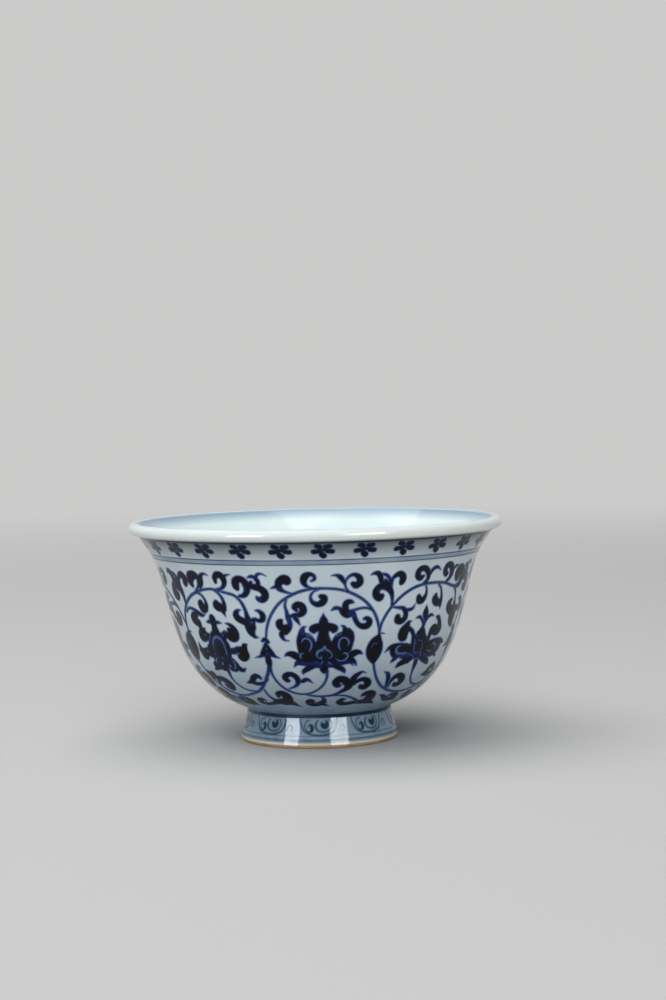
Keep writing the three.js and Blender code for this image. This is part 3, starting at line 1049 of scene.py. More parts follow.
# spear bud with its bell leaves, and the broad leaf under it
spearBud = [
    [(-21.7, 26.6, .3), (-20.4, 27, .5), (-19.4, 26.4, .42)],
    [(-20.4, 26, .34), (-20.9, 24.8, .6), (-21.9, 23.6, .66), (-23.2, 22.8, .36), (-26, 22.3, .05)],
    [(-20.4, 26, .34), (-19.8, 24.8, .6), (-18.7, 23.6, .66), (-17.3, 22.8, .36), (-15.2, 22.3, .05)],
    [(-20.3, 22.8, .4), (-20.3, 21.4, .74), (-20.3, 20.2, .46), (-20.2, 18.9, .3)],
]
spearWash = [(0.5, [[(-20.4, 25.4, .5), (-20.4, 24, 1), (-20.4, 22.8, .9)]])]
spearLight = [[(-20.9, 25.1, .05), (-20.4, 24.6, .12), (-19.9, 25.1, .05)]]
spearLeaves = [
    [(-26.8, 12.9, .2), (-26.4, 11.4, .24), (-25.4, 10, .3), (-23.6, 8.9, .5), (-21.4, 8.3, .9),
     (-19, 8.2, 1.2), (-16.6, 8.1, 1.05), (-14, 7.3, .6), (-12, 6.4, .26), (-10, 5.8, .05)],
    [(-21, 10.3, .3), (-20.3, 11.4, .6), (-18.4, 11.8, .76), (-16.6, 11, .9), (-16.2, 9.5, 1)],
    [(-29.7, 8.4, .2), (-31.2, 9, .44), (-33, 8.8, .6), (-33.5, 7.8, .6), (-31.9, 7.1, .56),
     (-29.3, 7, .56), (-26.5, 7.3, .56), (-23.8, 7.8, .7)],
]

# drop bud, the forked leaf over it and the broad leaf under it
dropBud = [
    [(24, 28.2, .22), (23.9, 27.1, .5), (23.2, 25.9, 1.2), (22.9, 24.8, 1.7), (22.7, 23.6, 1.85),
     (22.7, 22.4, 1.5), (23, 21.2, .85), (23.2, 20.2, .3)],
    [(23.9, 27.5, .2), (25, 27.8, .16), (26.4, 27.6, .04)],
]
dropLight = [[(21.2, 23.9, .06), (21.7, 24.9, .13), (22.8, 25.4, .1), (23.9, 25.1, .05)]]
dropLeaves = [
    [(23.6, 36.9, .5), (22.7, 36.5, .78), (21.5, 37.1, .82), (21.3, 38.2, .74), (22.7, 39.1, .74),
     (24.7, 39.1, .74), (26.6, 38.2, .64), (27.6, 36.8, .44), (27.9, 35.3, .3), (27.8, 34.2, .24)],
    [(18.8, 42.1, .08), (20, 42.5, .34), (21.4, 42.4, .52), (22.4, 41.5, .56), (22.9, 40.3, .5)],
    [(22.9, 42.2, .25), (24.5, 41.9, .34), (25.7, 41.2, .34), (26.6, 40.2, .3)],
    [(24.2, 40.7, .3), (25.2, 40, .5), (26.4, 39.3, .4)],
    [(30.7, 39.6, .4), (31.1, 40.1, .7), (31.3, 41, .76), (30.1, 41.9, .66), (28.4, 41.7, .5),
     (27.1, 40.7, .34), (27.1, 38.6, .24)],
    [(14, 8.9, .16), (12.4, 8.9, .46), (11.1, 8.1, .56), (12.2, 7.1, .6), (14.6, 6.8, .62),
     (17.6, 7, .62), (20.6, 7.3, .62), (24, 7.3, .76), (27.6, 7.2, .76), (30.6, 6.6, .46),
     (33.8, 5.7, .05)],
    [(22.6, 9.8, .2), (23.8, 10.6, .56), (26, 10.8, .78), (27.8, 10, .9), (27.8, 8.6, 1)],
]

# open-winged medallion right of the middle
wingedMedallion = dict(
    vine=[
        [(23.9, 27.6, .24), (24.6, 30.4, .26), (27.3, 33.6, .28), (31.3, 36.3, .3), (36, 38.1, .3),
         (41, 38.9, .27), (47, 39, .25), (53, 38.6, .25), (58, 37.7, .26), (62, 37.3, .3)],
        [(23.2, 20.6, .26), (24.3, 18.5, .24), (26.6, 15.8, .25), (30.4, 13.3, .27), (35.2, 11.6, .28),
         (41, 10.5, .26), (48, 10.1, .24), (54, 10.6, .26), (60, 11.7, .3), (64.6, 13.4, .3),
         (67.7, 15.8, .3), (69.2, 18.2, .36), (69.6, 20, .5)],
        [(46, 17.9, .4), (46.3, 16.4, .24), (47.7, 14.5, .22), (50.8, 12.8, .22), (55, 11.9, .22),
         (59.5, 11.8, .2)],
    ],
    leaves=[
        [(40.4, 40.9, .3), (39, 40.5, .6), (37.6, 41.2, .72), (37.9, 42.5, .7), (39.8, 42.9, .62),
         (41.7, 42.2, .62), (42.7, 41, .56), (42.3, 39.8, .44), (40.7, 39, .3)],
        [(43.4, 41, .2), (44, 42.1, .42), (45.4, 42.8, .42), (47, 42.7, .26), (48.6, 42, .06)],
        [(53.4, 40.9, .25), (52.4, 40.8, .52), (51.4, 41.7, .64), (51.9, 42.9, .62), (53.6, 43, .58),
         (55.2, 42.3, .6), (56, 41, .6), (55.2, 39.7, .42), (53.2, 38.9, .24)],
        [(56.6, 41.6, .2), (57.8, 42.4, .3), (60.3, 42.6, .05)],
        [(42, 38.8, .2), (42.9, 37.6, .26), (42.9, 36.2, .42), (41.7, 35.1, .66), (40.1, 35.1, .8),
         (39.5, 35.9, .6)],
        [(48.6, 38.8, .18), (50.8, 37.5, .22), (52, 35.8, .3), (52.3, 34.2, .42), (52.7, 32.3, .06)],
        [(48.6, 35.9, .4), (48.4, 34.9, .8), (49.8, 34.1, .76), (51.5, 33.9, .6), (52.3, 33.3, .4)],
        [(29.6, 17.6, .05), (31.7, 16.9, .38), (33, 15.5, .48), (33.5, 14, .38), (34.3, 12.3, .26)],
        [(35.6, 12.4, .16), (35.3, 14, .3), (36.4, 15.4, .56), (38.6, 15.9, .66), (40.9, 15.2, .76),
         (41.9, 14, .76), (40.6, 13, .66), (38.8, 13, .46), (37.8, 13.7, .2)],
        [(33.1, 9.6, .05), (35.4, 9.3, .32), (37.8, 8.3, .5), (40.6, 7.4, .66), (44, 7, .66),
         (47, 7.1, .5), (49.6, 6.4, .05)],
        [(40, 8.6, .26), (41.6, 9.2, .44), (44, 9.1, .6), (46, 8.2, .7), (46.4, 7.4, .6)],
    ],
    flower=[
        [(44.5, 33.7, .06), (44.4, 32.7, .5), (44.6, 31.7, .84), (45, 30.7, .6), (45.1, 29.9, .3)],
        [(39.9, 30.7, .1), (41.4, 31, .36), (43, 30.4, .36), (44.2, 29.3, .36), (44.5, 28, .4)],
        [(49.7, 30.8, .08), (48, 31.1, .36), (46.3, 30.6, .4), (45.2, 29.6, .36), (44.7, 28.2, .4)],
        [(44.2, 28, .5), (44.4, 27, 1.05), (45.2, 26.2, .86), (46, 25.4, .4)],
        [(42.6, 27, .5), (42, 26.2, .3), (42.2, 25.2, .3)],
        [(38, 30.1, .08), (36.7, 29.9, .4), (35.9, 28.9, .85), (35, 27.7, 1.3), (34.8, 26.7, 1.25),
         (35.6, 26.1, .75)],
        [(36, 28.6, .6), (38.2, 28, .52), (39.8, 27, .48), (40.3, 25.6, .46), (40.8, 24.2, .55),
         (41.4, 22.8, .5)],
        [(51.3, 30.5, .1), (53, 30.2, .46), (54.4, 29.1, .52), (54.8, 28, .8), (54.6, 27.2, 1.1),
         (53, 27, 1.05), (51.2, 27.4, 1), (50, 26.6, .66), (49.4, 25, .5), (48.4, 23.6, .6)],
        [(27.6, 22.8, .05), (29.4, 23.9, .44), (31.4, 24.3, .56), (33.8, 24.5, .42), (36.4, 24.3, .44),
         (39, 23.9, .5), (41, 23.2, .6)],
        [(30.6, 23.6, .6), (31.4, 22.4, .56), (32.8, 21.5, .46), (35, 21.5, .34), (38, 21.6, .3),
         (41.4, 21.7, .4)],
        [(35.2, 23.4, .3), (37, 23.2, .52), (39.2, 22.9, .52), (41.4, 22.3, .5)],
        [(31.6, 20.1, .2), (32.6, 20.7, .46), (34.2, 21.2, .36)],
        [(44.2, 24.6, .3), (44.3, 23.6, .6), (44.5, 22.6, .4)],
        [(62.4, 23.3, .04), (60.4, 23.8, .42), (57.8, 24.3, .46), (55, 24.5, .38), (52.4, 24.3, .42),
         (50, 23.9, .56), (47.6, 23.2, .7)],
        [(59, 23.2, .6), (58.4, 22.1, .66), (56.4, 21.2, .66), (54, 20.9, .6), (51, 21.3, .6),
         (48, 21.8, .6)],
        [(54.2, 23.2, .26), (52, 23.1, .5), (50, 22.8, .5), (48, 22.2, .5)],
        [(59.6, 19.9, .05), (58, 20.5, .32), (56, 21.1, .34)],
        [(35.2, 18.6, .3), (36.4, 19.3, .66), (38.4, 19.8, .8), (40.8, 20.2, .7), (43, 20.6, .46),
         (44.8, 21, .4)],
        [(55.6, 18, .08), (53.8, 18.9, .56), (51.2, 19.7, .74), (48.8, 20.2, .6), (46.6, 20.7, .4)],
        [(45, 21.6, .36), (45.4, 20.2, .5), (45.8, 19, .64), (46, 17.7, .45), (46.2, 16.6, .3)],
        [(28.4, 34, .2), (30.6, 33.8, .3), (33, 33.5, .46), (34.4, 32.4, .6), (34.4, 31.1, .66),
         (33, 30.4, .7), (31.3, 30.7, .84), (31, 31.5, .66)],
        [(33.6, 33.1, .3), (35.6, 33, .4), (37.4, 33.3, .34), (38.4, 34.4, .05)],
    ],
    light=[
        [(37.7, 27.3, .08), (38, 26.6, .2), (38.3, 25.7, .28), (38.2, 25, .16)],
        [(35, 24.2, .08), (33.6, 24.1, .3), (32.8, 23.3, .36), (33.4, 22.5, .36), (35, 22.2, .36),
         (36.9, 22.1, .34), (38.5, 22.5, .1)],
        [(41.4, 25.6, .1), (41.8, 24.8, .2), (41.9, 23.8, .18), (42.2, 22.7, .18), (43.2, 21.9, .18),
         (44.6, 21.9, .16), (45.4, 22.2, .06)],
        [(42.2, 25.2, .05), (43.6, 25.2, .12), (45, 24.9, .12), (46.2, 24.4, .14), (46.7, 23.4, .16),
         (46.6, 22.4, .16), (47, 21.2, .16), (47.4, 20.7, .1)],
        [(34.2, 21.9, .04), (36.4, 21.8, .1), (39.4, 21.8, .12), (42, 21.3, .16), (43.4, 20.6, .16),
         (44.8, 20.2, .16), (46.4, 20.2, .14)],
        [(53, 23.4, .1), (54.2, 23.7, .3), (55.4, 23.4, .32), (56.2, 22.6, .2), (56.2, 22, .08)],
        [(50, 22.4, .06), (51.6, 21.9, .22), (53.6, 21.7, .22), (55.4, 22, .06)],
        [(51, 26.3, .08), (51.4, 25.7, .2), (52.6, 25.3, .16), (54, 25.3, .05)],
        [(49, 21.2, .05), (50.4, 21, .12), (51.8, 20.9, .05)],
    ],
    wash=[
        (0.6, [
            [(41, 26.5, .4), (41.2, 25, .8), (42, 23.5, 1), (43.2, 22.2, 1.1), (44.6, 21.2, .9)],
            [(48.2, 25.4, .5), (47.4, 24.2, .9), (46.6, 23, 1), (45.6, 21.8, 1)],
            [(36, 21, .3), (39, 21, .5), (42, 20.9, .6), (44.5, 20.8, .7), (47, 21, .6), (50, 21, .5),
             (53.5, 20.8, .4)],
        ]),
        (0.95, [
            [(31, 23.5, .6), (33.4, 23, 1.1), (36.5, 23, 1.1), (39, 23, 1)],
            [(59, 23.2, .6), (56.2, 22.9, 1.2), (53, 22.9, 1.2), (50, 22.8, 1.2), (48.4, 22.6, .8)],
            [(43.4, 26.8, .8), (45, 26.3, .9), (46.6, 25.7, .7)],
            [(42.2, 25.6, .6), (44, 25, .8), (46.4, 24.4, .9)],
            [(44.3, 24.2, .6), (44.4, 23.2, .9), (44.6, 22.8, .7)],
            [(36.6, 19.6, .6), (38.4, 19.9, .9), (40.6, 20, .8)],
            [(51.4, 27.4, .8), (53.4, 27.3, .95), (55, 27.2, .8)],
        ]),
    ],
)

# leaves beside the spear bud, on the side away from the lotus
spearSide = dict(
    vine=[[(59.6, 37.5, .22), (62, 36.1, .26), (63.2, 34.3, .3), (63.7, 32.8, .4)]],
    leaves=[
        [(61.2, 39.3, .5), (60.8, 40, .8), (61, 41, .85), (62.3, 41.6, .74), (63.9, 41.3, .72),
         (65, 40.1, .8), (64.8, 38.7, .68), (63.6, 37.7, .5), (61.5, 37.4, .3)],
        [(65.2, 40.2, .6), (67.5, 39.8, .66), (69.8, 39.4, .7), (71.4, 38.5, .76), (71.5, 37.4, .76),
         (70.2, 36.7, .66), (68.8, 36.9, .45), (68.3, 37.5, .14)],
        [(65.8, 42, .12), (67.3, 42.3, .36), (68.6, 42, .38), (69.4, 41.2, .46), (69.5, 40.2, .5)],
        [(66.8, 40.8, .4), (66.5, 40.4, .5)],
        [(68.7, 41.6, .36), (69.5, 42.7, .32), (71, 43, .2), (72.8, 42.4, .05)],
        [(63.2, 33.4, .34), (63.7, 32, .66), (64, 30.5, 1.1), (64.2, 29.2, .95), (64.7, 28.2, .56),
         (65.7, 27.6, .34), (67, 27.5, .06)],
        [(61.2, 34.1, .1), (60.1, 34, .32), (59.1, 33.3, .6), (59.1, 32.5, .76), (60.2, 31.8, .74),
         (62, 31.3, .76), (63.5, 30.9, .8)],
        [(67.2, 34.1, .14), (68.6, 33.9, .38), (69.8, 33, .58), (69.5, 31.9, .56), (68, 31.6, .42),
         (66.4, 31.9, .42), (65.4, 31.1, .6), (65.4, 29.8, .6)],
        [(55.3, 14.8, .05), (57, 15.1, .36), (58.8, 15.5, .56), (60, 16.5, .6), (61.8, 17.2, .56),
         (63.4, 16.9, .4), (63.7, 16.2, .16)],
        [(58.4, 15.2, .4), (60.6, 14.8, .46), (63, 14.9, .4), (65.2, 15.4, .3), (67.2, 16.4, .2)],
    ],
)

# round-centred medallion left of the middle
roundMedallion = dict(
    vine=[
        [(-61.2, 27, .24), (-60.4, 30.5, .26), (-58.6, 33, .28), (-55.6, 35.2, .28), (-51.6, 37, .28),
         (-47.6, 38, .27), (-44.5, 38.6, .25), (-40.5, 38.9, .25), (-37, 38.6, .26), (-33.5, 38.1, .26),
         (-30.5, 37.6, .26), (-28.4, 36.4, .28), (-27.2, 34.8, .28), (-26.6, 33.2, .34)],
        [(-61.5, 20.6, .26), (-60.6, 18.5, .24), (-58.4, 15.8, .25), (-55, 13.2, .27), (-50.5, 11.2, .28),
         (-45, 10.2, .26), (-40, 10.3, .24), (-35.5, 11, .26), (-31, 12, .28), (-27.6, 13.4, .3),
         (-24.4, 15.6, .3), (-21.8, 18.2, .36), (-20.4, 20, .5)],
        [(-44, 10.1, .2), (-47.2, 9.1, .26), (-50, 7.6, .3)],
        [(-42.4, 17.4, .36), (-42.1, 15.7, .24), (-40.8, 14.2, .22), (-38.4, 12.9, .22),
         (-35.4, 12.3, .22), (-31.4, 12.1, .2)],
    ],
    leaves=[
        [(-49.4, 39.4, .35), (-50.1, 40.4, .72), (-49.6, 41.6, .98), (-47.8, 42.1, .9), (-46.2, 42, .6),
         (-45.7, 41, .4), (-46, 39.9, .36), (-46.8, 39, .3), (-48.6, 38.2, .2)],
        [(-45.4, 39.2, .4), (-44.7, 40.4, .72), (-44.3, 41.5, .66), (-43.2, 42.4, .36),
         (-41.6, 42.6, .22), (-40.2, 42.2, .05)],
        [(-37.4, 40.7, .4), (-37.4, 41.7, .6), (-36.2, 42.5, .7), (-34.6, 42.4, .74), (-33.7, 41.4, .7),
         (-33.9, 40.2, .52), (-35.4, 39.2, .34), (-38.4, 38.8, .2)],
        [(-33.8, 41.5, .4), (-32.6, 42.4, .28), (-30.6, 42.7, .05)],
        [(-48.6, 37.8, .18), (-46.4, 37.5, .24), (-44.7, 36.5, .3), (-44.2, 35.1, .48), (-45, 34, .68),
         (-46.3, 34, .92), (-47.1, 34.9, .85), (-46.9, 35.4, .6)],
        [(-39.5, 38.8, .18), (-37.3, 38, .26), (-35.9, 36.8, .34), (-35.4, 35.3, .48), (-35.9, 34.1, .6),
         (-37.3, 34.5, .92), (-38.9, 34.9, .96), (-39, 35.5, .7)],
        [(-36.6, 33.9, .6), (-35.7, 32.3, .06)],
        [(-59.8, 17.6, .05), (-57.8, 16.9, .38), (-56.4, 15.9, .6), (-54.8, 16.4, .7), (-53.6, 16.2, .4)],
        [(-53.9, 12.4, .16), (-54, 13.8, .3), (-52.8, 15.1, .5), (-50.6, 15.4, .6), (-48, 14.9, .8),
         (-46, 13.8, .86), (-47, 12.7, .8), (-49, 12.9, .5), (-50.2, 13.5, .2)],
        [(-54, 9.4, .05), (-51.4, 9, .32), (-49.2, 8, .5), (-46.4, 7, .66), (-43, 6.6, .7),
         (-40, 6.7, .5), (-37.4, 6, .05)],
        [(-46.8, 8.2, .26), (-45.2, 8.8, .44), (-42.8, 8.7, .6), (-40.8, 7.8, .7), (-40.4, 7, .6)],
        [(-57.5, 32.8, .2), (-55.2, 33.7, .22), (-52.6, 33.6, .3), (-50.2, 32.9, .44), (-48, 32.3, .4),
         (-46, 32.5, .05)],
        [(-51, 32.4, .5), (-52.6, 32, .75), (-53.5, 31.2, .9), (-52.6, 30.6, .85), (-51.3, 30.2, .75),
         (-50.8, 29.3, .6), (-50.2, 28.4, .6)],
    ],
    flower=[
        [(-42.7, 32.3, .4), (-42.7, 31.6, .9), (-42.6, 30.6, .9), (-42.5, 29.6, .8), (-42.4, 28.2, 1.1)],
        [(-46.4, 30.6, .08), (-44.8, 30.8, .42), (-43.2, 30.8, .45), (-41.5, 30.7, .45), (-40, 30.8, .36),
         (-38.4, 30.6, .08)],
        [(-42.6, 24.5, .8), (-42.6, 23.6, 1.15), (-42.6, 22.9, .9)],
        [(-48.6, 24.4, .5), (-47.6, 24.3, .75), (-46.4, 24.2, .5)],
        [(-38, 25.4, .5), (-38, 24.2, .72), (-38, 23, .5)],
        [(-44.1, 25.2, .2), (-43.4, 25.8, .3), (-42.6, 26, .3), (-41.8, 25.8, .3), (-41.1, 25.2, .2)],
        [(-46.8, 24.8, .2), (-46.3, 26.3, .36), (-44.8, 27.6, .56), (-42.5, 28, .8), (-40.4, 27.6, .56),
         (-38.9, 26.2, .36), (-38.5, 24.8, .2)],
        [(-48.3, 29, .2), (-49.6, 28.3, .6), (-51, 27.6, .9), (-51, 26.8, 1), (-49.6, 26.8, .95),
         (-48.2, 27.3, .66), (-46.6, 27.4, .4), (-45, 26.9, .4)],
        [(-46.8, 25.6, .3), (-47.7, 24.7, .5), (-47.3, 23.6, .5), (-46, 22.8, .3)],
        [(-55.2, 25.2, .05), (-55, 24.1, .4), (-53.8, 23.2, .5), (-51.4, 23.5, .4), (-49.4, 24, .3),
         (-48, 24.3, .3)],
        [(-54.6, 22.2, .56), (-53.4, 21.7, .8), (-51.9, 21.9, .56), (-51, 22.8, .3)],
        [(-36.8, 30.6, .05), (-35.2, 30.5, .34), (-33.6, 29.8, .56), (-32.6, 28.6, .76), (-33, 27.3, .86),
         (-34.8, 27, .86), (-36.6, 27.7, .8), (-37.9, 27.4, .6), (-38.8, 26.4, .4)],
        [(-37.4, 28.6, .3), (-38.6, 28.3, .3), (-40.4, 27.4, .3)],
        [(-38.5, 25.5, .3), (-37.6, 24.6, .5), (-37.9, 23.4, .5), (-39, 22.6, .3)],
        [(-28.6, 25.6, .2), (-29.9, 25.3, .5), (-30.2, 24, .76), (-30, 22.8, .86), (-31.4, 22, .8),
         (-33, 22.1, .5), (-33.8, 22.9, .2)],
        [(-37.2, 24.2, .3), (-35.2, 24.2, .34), (-33.2, 24.6, .4), (-31, 24.5, .5)],
        [(-51, 18.1, .05), (-49.2, 18.5, .44), (-47.6, 19.3, .66), (-47.4, 20.6, .5), (-47, 21.7, .4),
         (-45.6, 22, .4), (-44.4, 21.2, .4)],
        [(-45.6, 19.8, .3), (-45.2, 18.9, .5), (-43.8, 18.8, .66), (-42.6, 19.8, .6), (-42.5, 21.4, .5)],
        [(-42.6, 20.6, .5), (-42.4, 19, .6), (-42.2, 17.8, .44), (-42.1, 17, .3)],
        [(-41.4, 21.6, .4), (-39.8, 22, .4), (-38, 21.7, .44), (-36.4, 20.6, .55), (-35.6, 19.3, .7),
         (-33.8, 18.7, .55), (-31.9, 19.3, .1)],
        [(-36.2, 18.9, .4), (-38, 18.5, .44), (-39.9, 18.8, .46), (-40.4, 19.8, .4), (-39.4, 20.4, .36),
         (-38.4, 19.9, .26)],
    ],
    light=[
        [(-46, 23.4, .06), (-45.9, 24.6, .16), (-45.3, 25.8, .28), (-44.2, 26.7, .36), (-42.6, 27.1, .38),
         (-41, 26.7, .36), (-39.9, 25.7, .28), (-39.5, 24.5, .24), (-39.4, 23.2, .22),
         (-39.8, 22.3, .06)],
        [(-38.4, 18.9, .08), (-37.4, 19.2, .24), (-36.8, 20, .28), (-37.2, 20.9, .24),
         (-37.8, 21.3, .08)],
        [(-40.2, 20, .12), (-39.8, 19.6, .34), (-39.3, 19.3, .14)],
        [(-47.9, 20, .08), (-47.2, 20.8, .34), (-46.4, 21.4, .22), (-45.6, 21.7, .06)],
        [(-44.4, 19.7, .12), (-43.9, 20.1, .34), (-43.5, 20.6, .12)],
        [(-35.8, 22.7, .08), (-34.8, 23, .2), (-33.6, 23.4, .12)],
        [(-36.7, 26.4, .1), (-35.8, 26.2, .2), (-35, 26.2, .08)],
        [(-49.8, 27.1, .06), (-49, 27.4, .2), (-48.2, 27.3, .08)],
        [(-51.6, 23, .06), (-50.6, 23, .2), (-49.6, 23.2, .06)],
        [(-47.4, 22.6, .06), (-46.6, 22.5, .16), (-45.6, 22.8, .08)],
        [(-47.3, 26, .08), (-46.6, 26.9, .16), (-45.6, 27.6, .06)],
        [(-43.6, 21.9, .05), (-42.6, 21.6, .14), (-41.6, 21.9, .05)],
        [(-34.6, 24.9, .06), (-33.4, 25.1, .14), (-32.4, 25.2, .06)],
    ],
    wash=[
        (0.7, [
            [(-47.6, 26.8, .4), (-46.6, 25.6, .9), (-46.6, 24, 1.1), (-46, 22.6, 1.2),
             (-44.6, 21.6, 1.1)],
            [(-38.6, 26.6, .4), (-38.4, 25.2, .9), (-38.6, 23.8, 1.1), (-39.2, 22.4, 1.1),
             (-40.6, 21.6, 1.1)],
            [(-42.6, 27, .9), (-42.6, 25, 1.8), (-42.6, 23.4, 1.9), (-42.6, 21.8, 1.5)],
            [(-37, 23.6, .7), (-35.2, 23.6, .7), (-33.4, 24, .8)],
        ]),
        (0.8, [
            [(-51.6, 28, .6), (-49.8, 28.2, .6), (-48, 27.7, .5)],
            [(-50.4, 22.6, .7), (-48.4, 22.2, .8)],
            [(-45.8, 26.4, .6), (-44.6, 26.8, .4)],
            [(-39.4, 26.4, .6), (-40.6, 26.8, .4)],
            [(-39.8, 19.7, .8), (-37.6, 19.6, .8)],
            [(-48.6, 19.6, .8), (-46.6, 20, 1.1), (-44, 20.4, 1.2), (-41.6, 20.4, 1.2), (-39, 20.4, 1.1),
             (-36.8, 20, .9)],
        ]),
        (1.0, [
            [(-55, 23.2, .8), (-53.6, 22.4, 1.2), (-52, 22.4, 1), (-50, 23.2, .7), (-48, 23.6, .7)],
            [(-35.8, 29.2, .4), (-34.6, 28.6, 1), (-34.2, 27.6, 1.1)],
            [(-29.6, 25.1, .6), (-30.4, 24.2, 1), (-30.8, 22.9, 1.35), (-31.4, 22.5, 1.2)],
            [(-51.4, 27.4, .9), (-50, 27.2, 1.1), (-48.8, 27.6, .9)],
            [(-49, 19, .5), (-47, 19, .7), (-44.6, 19.2, .7)],
        ]),
    ],
)

wallLook = dict(
    low=0.9,
    high=44.6,
    # load, tone of narrow parts, how much narrow and broad parts grow, and both at the sides and low down
    vine=(0.6, 0.54, 1.2, 1.2, 1.15, 1.1),
    leaf=(1.0, 0.54, 1.2, 1.2, 1.45, 1.18),
    flower=(1.0, 0.58, 1.1, 1.12, 1.3, 1),
    bud=(1.0, 0.58, 1.1, 1.12, 1.35, 1.15),
    pistil=(0.8, 0.6, 1.0, 1.0, 1.0, 1),
    farScale=49.5 / 44,  # the lotus medallion at the sides is a little wider
    farMiddle=-20.4,
    # turns in degrees from a form to its next place
    quarter=89.8,
    spearTurn=-89.9,
    dropTurn=95.3,
    mirrorAt=2.3,  # the middle of the lotus
    blueCover=0.5,
    budLight=[[(-24.9, 30.8, .05), (-24.6, 31.2, .22)]],
)


def paintWall(v):
    wall = Painting(-90, 180, v["low"], v["high"])
    far = lambda strokes: moved(strokes, v["quarter"], v["farScale"], v["farMiddle"])

    def paint(strokes, kind):
        load, thin, *growth = v[kind]
        wall.brush(fuller(strokes, *growth), load, thin)

    def washes(table):
        for load, strokes in table:
            wall.brush(strokes, load, load, edge=load * 0.85)

    for put in (lambda strokes: strokes, far):
        paint(put(lotusMiddle["vine"]), "vine")
        paint(put(lotusMiddle["leaves"]), "leaf")
        washes([(load, put(strokes + mirrored(strokes, v["mirrorAt"]))) for load, strokes in lotusWash])
        paint(put(lotusHalf + mirrored(lotusHalf, v["mirrorAt"]) + lotusSpine + lotusRight), "flower")
        wall.leaveBlue(put(lotusBlue), v["blueCover"])
        wall.leaveLight(put(lotusLight))
        paint(put(lotusPistil), "pistil")
    for medallion in (wingedMedallion, roundMedallion):
        paint(medallion["vine"], "vine")
        paint(medallion["leaves"], "leaf")
        washes(medallion["wash"])
        paint(medallion["flower"], "flower")
        wall.leaveLight(medallion["light"])
    for shift in (0, v["spearTurn"]):
        paint(moved(spearSide["vine"], shift), "vine")
        paint(moved(spearSide["leaves"], shift), "leaf")
    for shift in (0, v["quarter"]):
        washes([(load, moved(strokes, shift)) for load, strokes in spearWash])
        paint(moved(spearBud + spearLeaves, shift), "bud")
        wall.leaveLight(moved(spearLight, shift))
    for shift in (0, v["dropTurn"]):
        paint(moved(dropLeaves, shift), "leaf")
        paint(moved(dropBud, shift), "bud")
        wall.leaveBlue(moved(leafBlue, shift), v["blueCover"])
        wall.leaveLight(moved(dropLight, shift))
    wall.leaveLight(v["budLight"])
    return wall


# blossoms under the lip, a few dabs to each
blossomLook = dict(
    start=-5,
    centre=2.1,
    low=44.6,
    height=48.95,
    repeats=27,
    load=0.95,
    edge=0.6,
    fill=0.3,
    # degrees and millimetres from the blossom's middle to the ends of each dab, and its half width
    dabs=[
        ((-1.75, 1.4), (-0.9, 1.15), 0.68),
        ((0.95, 1.15), (2.15, 1.3), 0.68),
        ((-2.75, -0.2), (-1.5, -0.1), 0.68),
        ((1.6, -0.05), (2.95, -0.2), 0.68),
        ((-0.1, -1.05), (0.3, -1.35), 0.78),
        ((-0.4, 0.25), (0.4, 0.3), 0.52),
    ],
)


def paintBlossom(v):
    band = Painting(v["start"], 360 / v["repeats"], v["low"], sideLengths[-1] - neckStart)
    c, h = v["centre"], v["height"]
    dabs = [[(c + a0, h + s0, w), (c + a1, h + s1, w)] for (a0, s0), (a1, s1), w in v["dabs"]]
    band.brush(dabs, v["load"], edge=v["edge"], fill=v["fill"])
    return band


# curls round the foot, in degrees from the group's middle and millimetres up from the glaze's edge
footLook = dict(
    start=-19,
    centre=0,
    repeats=9,
    load=0.8,
    thin=0.42,
    high=0.9,
    strokes=[
        [(-8.6, 4.4, .12), (-7.6, 4.8, .22), (-6.2, 4.7, .36), (-5.6, 4.1, .42), (-6.3, 3.4, .34),
         (-8.2, 3.2, .2), (-10.4, 3.8, .14), (-11.2, 4.8, .12), (-10, 5.7, .12), (-7.6, 6, .1)],
        [(-1.1, 6, .12), (-2.7, 5.2, .2), (-2.7, 4.2, .22), (-.7, 3.4, .2), (3, 3.2, .2), (6.8, 3.5, .18),
         (9, 4.4, .14), (9, 5.4, .12), (7.6, 6.1, .1)],
        [(1.4, 5.3, .2), (2.4, 4.8, .54), (3.9, 4.5, .66), (5.4, 4.8, .52), (5.8, 5.5, .3),
         (4.6, 5.9, .14)],
        [(-15.2, 6.3, .1), (-14, 5, .14), (-12, 3.6, .17), (-8.4, 2.8, .2), (-4.4, 2.5, .2),
         (0, 2.4, .21), (5, 2.5, .22), (9.2, 3, .23), (12, 4, .2), (13.2, 5.4, .18), (13.4, 6.4, .14)],
        [(14.8, 3.3, .08), (15.6, 4.3, .12), (17.2, 4.8, .13), (18.8, 4.3, .13), (18.4, 3.5, .12),
         (17.2, 3.6, .08)],
    ],
)


def paintFoot(v):
    band = Painting(v["start"], 360 / v["repeats"], -neckStart, v["high"])
    strokes = [[(v["centre"] + a, s - neckStart, w) for a, s, w in stroke] for stroke in v["strokes"]]
    band.brush(strokes, v["load"], v["thin"])
    return band


def srgb(red, green, blue):
    parts = red / 255, green / 255, blue / 255
    return tuple(c / 12.92 if c <= 0.04045 else ((c + 0.055) / 1.055) ** 2.4 for c in parts) + (1,)


def attributeValue(tree, name):
    return addNode(tree, "ShaderNodeAttribute", dict(attribute_name=name)).outputs["Fac"]


def noiseAt(tree, scale, detail=2.0, rough=0.5):
    kind = dict(Scale=scale, Detail=detail, Roughness=rough)
    return addNode(tree, "ShaderNodeTexNoise", Vector=placeOn(tree), **kind).outputs[0]


def heightOn(tree):
    return maths(tree, "DIVIDE", apart(tree, placeOn(tree))["Z"], mm)


